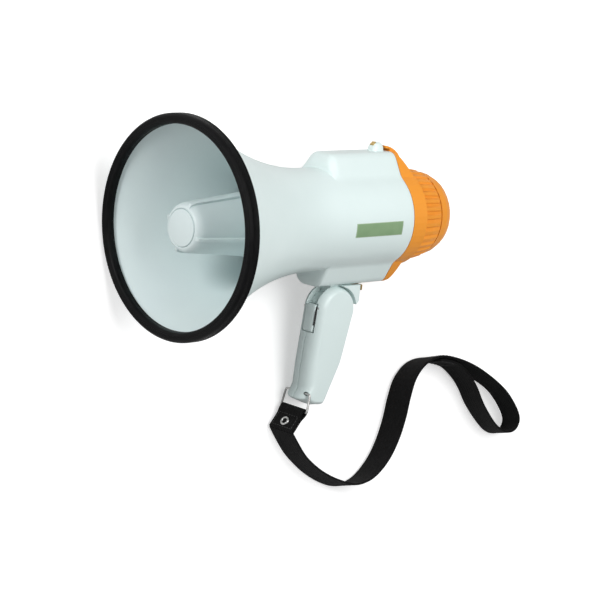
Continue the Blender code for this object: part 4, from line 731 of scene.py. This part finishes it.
def make_grip():
    """Both halves of the handle, cut out for the bracket's web, the trigger and the bail's ends."""
    seam_half, roll_depth, roll_width, roll_steps = 1.6, 8.0, 9.4, 14
    profile = [(0.3, 0.15), (0.08, 0.3), (0.0, 0.6), (0.0, seam_half)]
    for a in spread(0, math.pi / 2, roll_steps)[1:]:
        profile.append((roll_depth * (1 - math.cos(a)), seam_half + roll_width * math.sin(a)))
    top = PIVOT_Z + HEAD_RADIUS
    web_half = 5.2
    for side, sign in (("right", 1), ("left", -1)):
        rings = []
        for inset, x in profile:
            ring = []
            for y, z in grip_outline(inset * MM):
                taper = 1 + (FOOT_HALF / HANDLE_HALF - 1) * (top - z) / (top - HANDLE_BOTTOM)
                ring.append((sign * x * MM * taper, y, z))
            rings.append(ring)
        points, faces = skin(rings, caps=True)
        trigger_half = 6.5 if sign > 0 else 5.4
        web_slot = block((-web_half, 117, -61.2), (web_half, 174, -20))
        web_round = cross_rod(13.9, 153.5, -66.8, -web_half, web_half)
        web_rear = block((-web_half, 153.5, -75.8), (web_half, 175, -48))
        trigger_slot = block((-trigger_half, 117, -82.2), (trigger_half, 139.7, -60.8))
        bail_hole = cross_rod(1.5, 131, -126.2, 4 * sign, 20 * sign, 24)
        points, faces = carved(points, faces, [web_slot, web_round, web_rear, trigger_slot, bail_hole])
        name, shell = f"grip_{side}_moulding", f"handle_{side}_shell"
        piece(name, points, faces, "handle", WHITE, [shell], sharp=40)
    # Black filler along the gap beside and under the trigger: painted shade where the gap is dark only from
    # shadow.
    gap_shade_outline = [(136.9, -63.2), (136.1, -66.8), (135.7, -69.5), (134.9, -76.5), (139.5, -76.5), (139.5, -63.2)]
    rings = [[(x * MM, y * MM, z * MM) for y, z in gap_shade_outline] for x in (5.15, 6.45)]
    points, faces = skin(rings, caps=True)
    piece("trigger_gap_painted_shade", points, faces, "handle", BLACK)


# Front edge of the handle beside the trigger, in millimetres: the head's arc, then a straight run
ARC_END, FRONT_AT_ARC_END, FRONT_SLOPE = -1.26, 135.54, 0.1203


def grip_front(z):
    """Distance of the handle's front edge along the horn, at a height beside the trigger, in millimetres."""
    rise = z - PIVOT_Z / MM
    if rise > ARC_END:
        return PIVOT_Y / MM - math.sqrt((HEAD_RADIUS / MM) ** 2 - rise * rise)
    return FRONT_AT_ARC_END + (rise - ARC_END) * FRONT_SLOPE


def make_trigger():
    """Trigger nearly flush with the handle's front and rolled over with it."""
    top, low, proud, back_top, back_low, steps = -61.9, -81.7, 0.15, 138.6, 136.9, 16
    end_roll = {0: 0.7, 1: 0.1, steps - 1: 0.1, steps: 0.7}
    rings = []
    for x, roll in ((-4.95, 1.05), (-4.85, 0.75), (-4.5, 0.48), (-3.4, 0.22), (-1.8, 0.06), (0, 0)):
        ring = []
        for i, z in enumerate(spread(top, low, steps)):
            ring.append((x * MM, (grip_front(z) - proud + roll + end_roll.get(i, 0.0)) * MM, z * MM))
        ring += [(x * MM, back_low * MM, low * MM), (x * MM, back_top * MM, top * MM)]
        rings.append(ring)
    points, faces = skin(mirrored(rings), caps=True)
    piece("trigger_lever", points, faces, "trigger", WHITE, ["trigger"], sharp=40)


# Strap: its width, thickness, start and twist length are the part's, and its run keeps within 7 mm of it
STRAP_WIDTH, STRAP_THICKNESS = 24 * MM, 1.6 * MM
STRAP_TWIST_LENGTH, STRAP_STEP = 70 * MM, 1.5 * MM
STRAP_BEND = (3 * MM, 60 * MM)
STRAP_LEANS = ((0, 8), (60, 11), (100, 13), (200, 13), (235, 6), (262, -4), (325, -5), (350, 0), (450, 1))
FLAP_LENGTH, FLAP_TILT = 17 * MM, math.radians(-38)
BAIL_Y, BAIL_Z, BAIL_DROP, BAIL_TILT = 131 * MM, -126.2 * MM, 13.4 * MM, math.radians(-12)
BAIL_WIRE = 0.9 * MM
SEW_HALF, SEW_STITCHES = 9.9 * MM, 8
SEW_NEAR, SEW_FAR, SEW_SIDE_STITCHES = 5.4 * MM, 15.6 * MM, 4
STRAP_ROUTE = (
    (0.163, 0.114), (0.172, 0.1205), (0.181, 0.130), (0.1885, 0.142), (0.193, 0.155),
    (0.1915, 0.167), (0.186, 0.1775), (0.176, 0.1885), (0.163, 0.198), (0.149, 0.2055), (0.135, 0.2115),
    (0.1215, 0.219), (0.112, 0.230), (0.1085, 0.243), (0.111, 0.257), (0.1175, 0.2725), (0.127, 0.2875),
    (0.139, 0.3015), (0.153, 0.310), (0.163, 0.312), (0.170, 0.307), (0.171, 0.299), (0.166, 0.291),
    (0.156, 0.284), (0.1455, 0.2787), (0.136, 0.2755), (0.1285, 0.272), (0.1222, 0.2675), (0.117, 0.2625),
    (0.114, 0.2573), (0.1118, 0.250), (0.1109, 0.2455),
)
BACK_TURN = HELD.to_3x3().transposed()
FLOOR_UP = BACK_TURN @ UP
FLOOR_ALONG = (Vector((0, 1, 0)) - FLOOR_UP * FLOOR_UP.y).normalized()
FLOOR_ACROSS = FLOOR_ALONG.cross(FLOOR_UP)


def flap_point(along, across=0.0):
    """Place (y, z) on the sewn end, from the bail's bar along it and through it."""
    down = Vector((math.sin(FLAP_TILT), -math.cos(FLAP_TILT)))
    side = Vector((math.cos(FLAP_TILT), math.sin(FLAP_TILT)))
    bar = Vector((BAIL_Y + BAIL_DROP * math.sin(BAIL_TILT), BAIL_Z - BAIL_DROP * math.cos(BAIL_TILT)))
    return bar + along * down + across * side


def smooth_path(points, step):
    """Points at an even step along a smooth curve through the given places."""
    dense = []
    for i in range(len(points) - 1):
        before, here = points[max(i - 1, 0)], points[i]
        ahead, after = points[i + 1], points[min(i + 2, len(points) - 1)]
        for k in range(16):
            t = k / 16
            square = (2 * before - 5 * here + 4 * ahead - after) * t * t
            cube = (3 * here - before - 3 * ahead + after) * t**3
            dense.append(0.5 * (2 * here + (ahead - before) * t + square + cube))
    dense.append(points[-1])
    even, left = [dense[0]], step
    for a, b in zip(dense, dense[1:]):
        length, done = (b - a).length, 0.0
        while length - done > left:
            done += left
            left = step
            even.append(a.lerp(b, done / length))
        left -= length - done
    return even


def strap_lean(run):
    """Lean of the standing strap, at a distance along it: it tips one way, then the loop the other."""
    for (a, low), (b, high) in zip(STRAP_LEANS, STRAP_LEANS[1:]):
        if run <= b * MM:
            return math.radians(low + (high - low) * (run - a * MM) / ((b - a) * MM))
    return 0.0


def band_section(width, thick):
    """Outline (across, through) of webbing: raised ribs on both faces and round selvedges."""
    half, deep = width / 2, thick / 2
    ribs, rib_steps, rib_depth, selvedge = 8, 4, 0.1 * MM, 0.9 * MM
    top = []
    for i, v in enumerate(spread(selvedge - half, half - selvedge, ribs * rib_steps)):
        top.append((v, deep - rib_depth * (0.5 + 0.5 * math.cos(math.tau * i / rib_steps))))
    edge = [(half - 0.45 * MM, deep * 0.92), (half - 0.1 * MM, deep * 0.55), (half, 0.0)]
    right = edge + [(v, -w) for v, w in reversed(edge[:-1])]
    bottom = [(v, -w) for v, w in reversed(top)]
    left = [(-v, -w) for v, w in right]
    return top + right + bottom + left


def stitch(points, faces, hole, next_hole, out):
    """One raised stitch between two needle holes: a bowed six-sided rod of thread."""
    radius, sides, steps = 0.27 * MM, 6, 5
    start, end = hole.lerp(next_hole, 0.1), hole.lerp(next_hole, 0.9)
    along = end - start
    side = along.cross(out).normalized()
    base = len(points)
    for t in spread(0, 1, steps):
        swell = math.sqrt(max(1 - (2 * t - 1) ** 4, 0.02))
        centre = start + along * t + out * (radius * 0.9 * swell)
        for a in around(sides):
            points.append(tuple(centre + (side * math.cos(a) + out * math.sin(a)) * radius * swell))
    for k in range(steps):
        here, ahead = base + k * sides, base + (k + 1) * sides
        for j in range(sides):
            i = (j + 1) % sides
            faces.append((here + j, here + i, ahead + i, ahead + j))
    faces.append(tuple(base + j for j in reversed(range(sides))))
    faces.append(tuple(base + steps * sides + j for j in range(sides)))


def sew_loop(frames):
    """Stitched box where the wrist loop's end lies on the run of the strap, on both outer faces."""
    points, faces = [], []
    end, box_steps, tail = frames[-1][0], 8, 30
    middle = range(len(frames) // 2, len(frames) - tail)
    run = min(middle, key=lambda i: (frames[i][0] - end).length)
    across = spread(-SEW_HALF, SEW_HALF, SEW_STITCHES)
    lift = STRAP_THICKNESS / 2 - 0.06 * MM
    for first, step, other in ((len(frames) - 2, -1, run), (run + 1, 1, len(frames) - 1)):
        sign = 1 if frames[first][2].dot(frames[first][0] - frames[other][0]) > 0 else -1

        def spot(k, v):
            centre, edge, side = frames[first + step * k]
            return centre + edge * v + side * (sign * lift)

        for k in (0, box_steps):
            for a, b in zip(across, across[1:]):
                stitch(points, faces, spot(k, a), spot(k, b), frames[first][2] * sign)
        for v in (across[0], across[-1]):
            for k in range(0, box_steps, 2):
                stitch(points, faces, spot(k, v), spot(k + 2, v), frames[first + step * k][2] * sign)
    piece("wrist_loop_stitches", points, faces, "handle", THREAD, sharp=60)


def make_strap():
    """Webbing from the sewn end, along the floor on its edge, to the wrist loop sewn back on it."""
    lift = STRAP_WIDTH / 2 + 0.9 * MM - FLOOR_UP.dot(BACK_TURN @ MOUTH)
    route = [FLOOR_ACROSS * u + FLOOR_ALONG * v + FLOOR_UP * lift for u, v in STRAP_ROUTE]
    start = Vector((0, *flap_point(FLAP_LENGTH + 0.9 * MM)))
    centres = smooth_path([start] + route, STRAP_STEP)
    section = band_section(STRAP_WIDTH, STRAP_THICKNESS)
    bar = Vector((1, 0, 0))
    rings, uvs, frames = [], [], []
    for i, centre in enumerate(centres):
        run = i * STRAP_STEP
        turn = min(run / STRAP_TWIST_LENGTH, 1)
        standing = FLOOR_UP + FLOOR_ALONG * math.tan(strap_lean(run))
        ruling = bar.lerp(standing, turn * turn * (3 - 2 * turn)).normalized()
        ahead = centres[min(i + 2, len(centres) - 1)] - centres[max(i - 2, 0)]
        level = min(i / 4, 1)
        tangent = Vector((ahead.x * level, ahead.y, ahead.z)).normalized()
        side = tangent.cross(ruling).normalized()
        edge = side.cross(tangent).normalized()
        rings.append([tuple(centre + edge * v + side * w) for v, w in section])
        uvs += [(run, v) for v, w in section]
        frames.append((centre, edge, side))
    sew_loop(frames)
    points, faces = skin(rings, caps=True)
    ahead = HELD.to_3x3() @ FLOOR_ALONG
    bend_start, bend_end = (HELD @ start + ahead * distance for distance in STRAP_BEND)
    bend = ("bail", "handle", bend_start, bend_end)
    made = piece("strap_webbing_band", points, faces, bend, WEBBING, ["strap_band"], 50, uvs)
    length = sum((b - a).length for a, b in zip(centres, centres[1:]))
    return made, [HELD @ c for c in centres], length


def loft_band(name, centres, width, thick, body, replaced):
    """Webbing that keeps level with the bail's bar along a path in the (y, z) plane."""
    section = band_section(width, thick)
    rings, uvs, run = [], [], 0.0
    for i, centre in enumerate(centres):
        ahead = centres[min(i + 1, len(centres) - 1)] - centres[max(i - 1, 0)]
        side = Vector((-ahead.y, ahead.x)).normalized()
        run += (centre - centres[i - 1]).length if i else 0.0
        rings.append([(v, centre.x + side.x * w, centre.y + side.y * w) for v, w in section])
        uvs += [(run, v) for v, w in section]
    points, faces = skin(rings, caps=True)
    piece(name, points, faces, body, WEBBING, replaced, 50, uvs)


def flap_place(x, along, across):
    """Place on the sewn end, from its middle line, along it and through it."""
    return Vector((x, *flap_point(along, across)))


def make_sewn_end():
    """Doubled webbing folded over the bail's bar, with a sewn box."""
    half = STRAP_THICKNESS / 2
    loop = BAIL_WIRE + 0.3 * MM + half
    path = []
    for along in (FLAP_LENGTH + 0.8 * MM, 14.5 * MM, 12 * MM, 9.5 * MM, 7.5 * MM):
        path.append((along, -half))
    for t in spread(0, 1, 6)[1:-1]:
        path.append(((7.5 - 6.5 * t) * MM, -half - (loop - half) * t * t * (3 - 2 * t)))
    turn = [(-loop * math.sin(a), -loop * math.cos(a)) for a in spread(0, math.pi, 14)]
    back = [(along, -across) for along, across in reversed(path)]
    centres = [flap_point(*place) for place in path + turn + back]
    loft_band("strap_sewn_end", centres, STRAP_WIDTH, STRAP_THICKNESS * 0.97, "bail", ["strap_end"])
    rows = []
    for along in (SEW_NEAR, SEW_FAR):
        rows.append([(x, along) for x in spread(-SEW_HALF, SEW_HALF, SEW_STITCHES)])
    for x in (-SEW_HALF, SEW_HALF):
        rows.append([(x, along) for along in spread(SEW_NEAR, SEW_FAR, SEW_SIDE_STITCHES)])
    points, faces = [], []
    for sign in (-1, 1):
        out = flap_place(0, 0, sign) - flap_place(0, 0, 0)
        face = sign * (STRAP_THICKNESS - 0.06 * MM)
        for row in rows:
            holes = [flap_place(x, along, face) for x, along in row]
            for hole, next_hole in zip(holes, holes[1:]):
                stitch(points, faces, hole, next_hole, out)
    piece("strap_end_stitches", points, faces, "bail", THREAD, sharp=60)


def make_eyelet():
    """Rolled eyelet through the sewn end: a domed flange on each side of a thin barrel."""
    place, steps = 11, 40
    half = [(2.0, 1.5), (2.08, 1.95), (2.3, 2.3), (2.7, 2.45), (3.15, 2.32), (3.5, 2.0), (3.6, 1.75)]
    half += [(3.4, 1.68), (2.45, 1.62)]
    rings = []
    for r, w in half + [(r, -w) for r, w in reversed(half)]:
        ring = []
        for a in around(steps):
            ring.append(tuple(flap_place(r * MM * math.cos(a), (place + r * math.sin(a)) * MM, w * MM)))
        rings.append(ring)
    points, faces = skin(rings, looped=True)
    piece("rolled_eyelet", points, faces, "bail", STEEL, ["strap_eyelet"], 60)


make_horn()
make_rim()
make_reflector()
make_grip()
make_trigger()
make_bump()
make_latch_tab()
make_plate()
make_sewn_end()
make_eyelet()
strap, strap_line, strap_length = make_strap()


# Stage

FLOOR_HALF, FLOOR_LEVEL, FLOOR_GLOW = 6.0, -0.6 * MM, 0.42
FLOOR_BOUNCE, FLOOR_SEEN = (0.45, 0.45, 0.45), (0.82, 0.82, 0.82)


def make_floor():
    """Pale table just under the part."""
    mesh = bpy.data.meshes.new("floor")
    signs = ((-1, -1), (1, -1), (1, 1), (-1, 1))
    mesh.from_pydata([(FLOOR_HALF * x, FLOOR_HALF * y, FLOOR_LEVEL) for x, y in signs], [], [(0, 1, 2, 3)])
    n = Nodes("pale_table")
    path = n.add("ShaderNodeLightPath")
    camera_ray = path.outputs["Is Camera Ray"]
    seen = n.math("MAXIMUM", camera_ray, path.outputs["Is Glossy Ray"])
    seen = n.math("MAXIMUM", seen, path.outputs["Is Transmission Ray"])
    n.set(Base_Color=n.mix(seen, FLOOR_BOUNCE, FLOOR_SEEN), Roughness=1.0, Specular_IOR_Level=0.0)
    n.set(Emission_Color=(1.0, 1.0, 1.0), Emission_Strength=n.math("MULTIPLY", camera_ray, FLOOR_GLOW))
    mesh.materials.append(n.material)
    placed("floor", mesh)


def lamp(name, place, aim, size, power):
    """Round area lamp at a place, turned to face another."""
    data = bpy.data.lights.new(name, "AREA")
    data.shape = "DISK"
    data.size = size
    data.energy = power
    made = placed(name, data)
    made.location = place
    made.rotation_euler = (Vector(aim) - Vector(place)).to_track_quat("-Z", "Y").to_euler()


def make_world():
    """Even white light from all round."""
    world = bpy.data.worlds.new("studio")
    bpy.context.scene.world = world
    world.use_nodes = True
    back = world.node_tree.nodes["Background"]
    back.inputs["Color"].default_value = (1, 1, 1, 1)
    back.inputs["Strength"].default_value = 0.3


def make_camera():
    """Camera of the photograph: 144 mm on a 36 mm square frame."""
    data = bpy.data.cameras.new("photo_camera")
    data.sensor_width = 36
    data.lens = 144
    data.clip_end = 20
    camera = placed("photo_camera", data)
    right = Vector((0.6832, 0.7253, 0.0847))
    up = Vector((-0.1956, 0.07, 0.9782))
    place = Matrix((right, up, right.cross(up))).transposed().to_4x4()
    place.translation = Vector((1.2078, -1.0507, 0.2673))
    camera.matrix_world = HELD @ place
    bpy.context.scene.camera = camera


make_floor()
make_world()
make_camera()
lamp("key", (-0.06, 0.3, 1.48), (0.02, 0.02, 0.05), 1.2, 16.6)
lamp("front", (-0.62, -1.25, 0.75), (-0.03, -0.1, 0.08), 0.5, 12)
bpy.context.scene.view_settings.view_transform = "Standard"
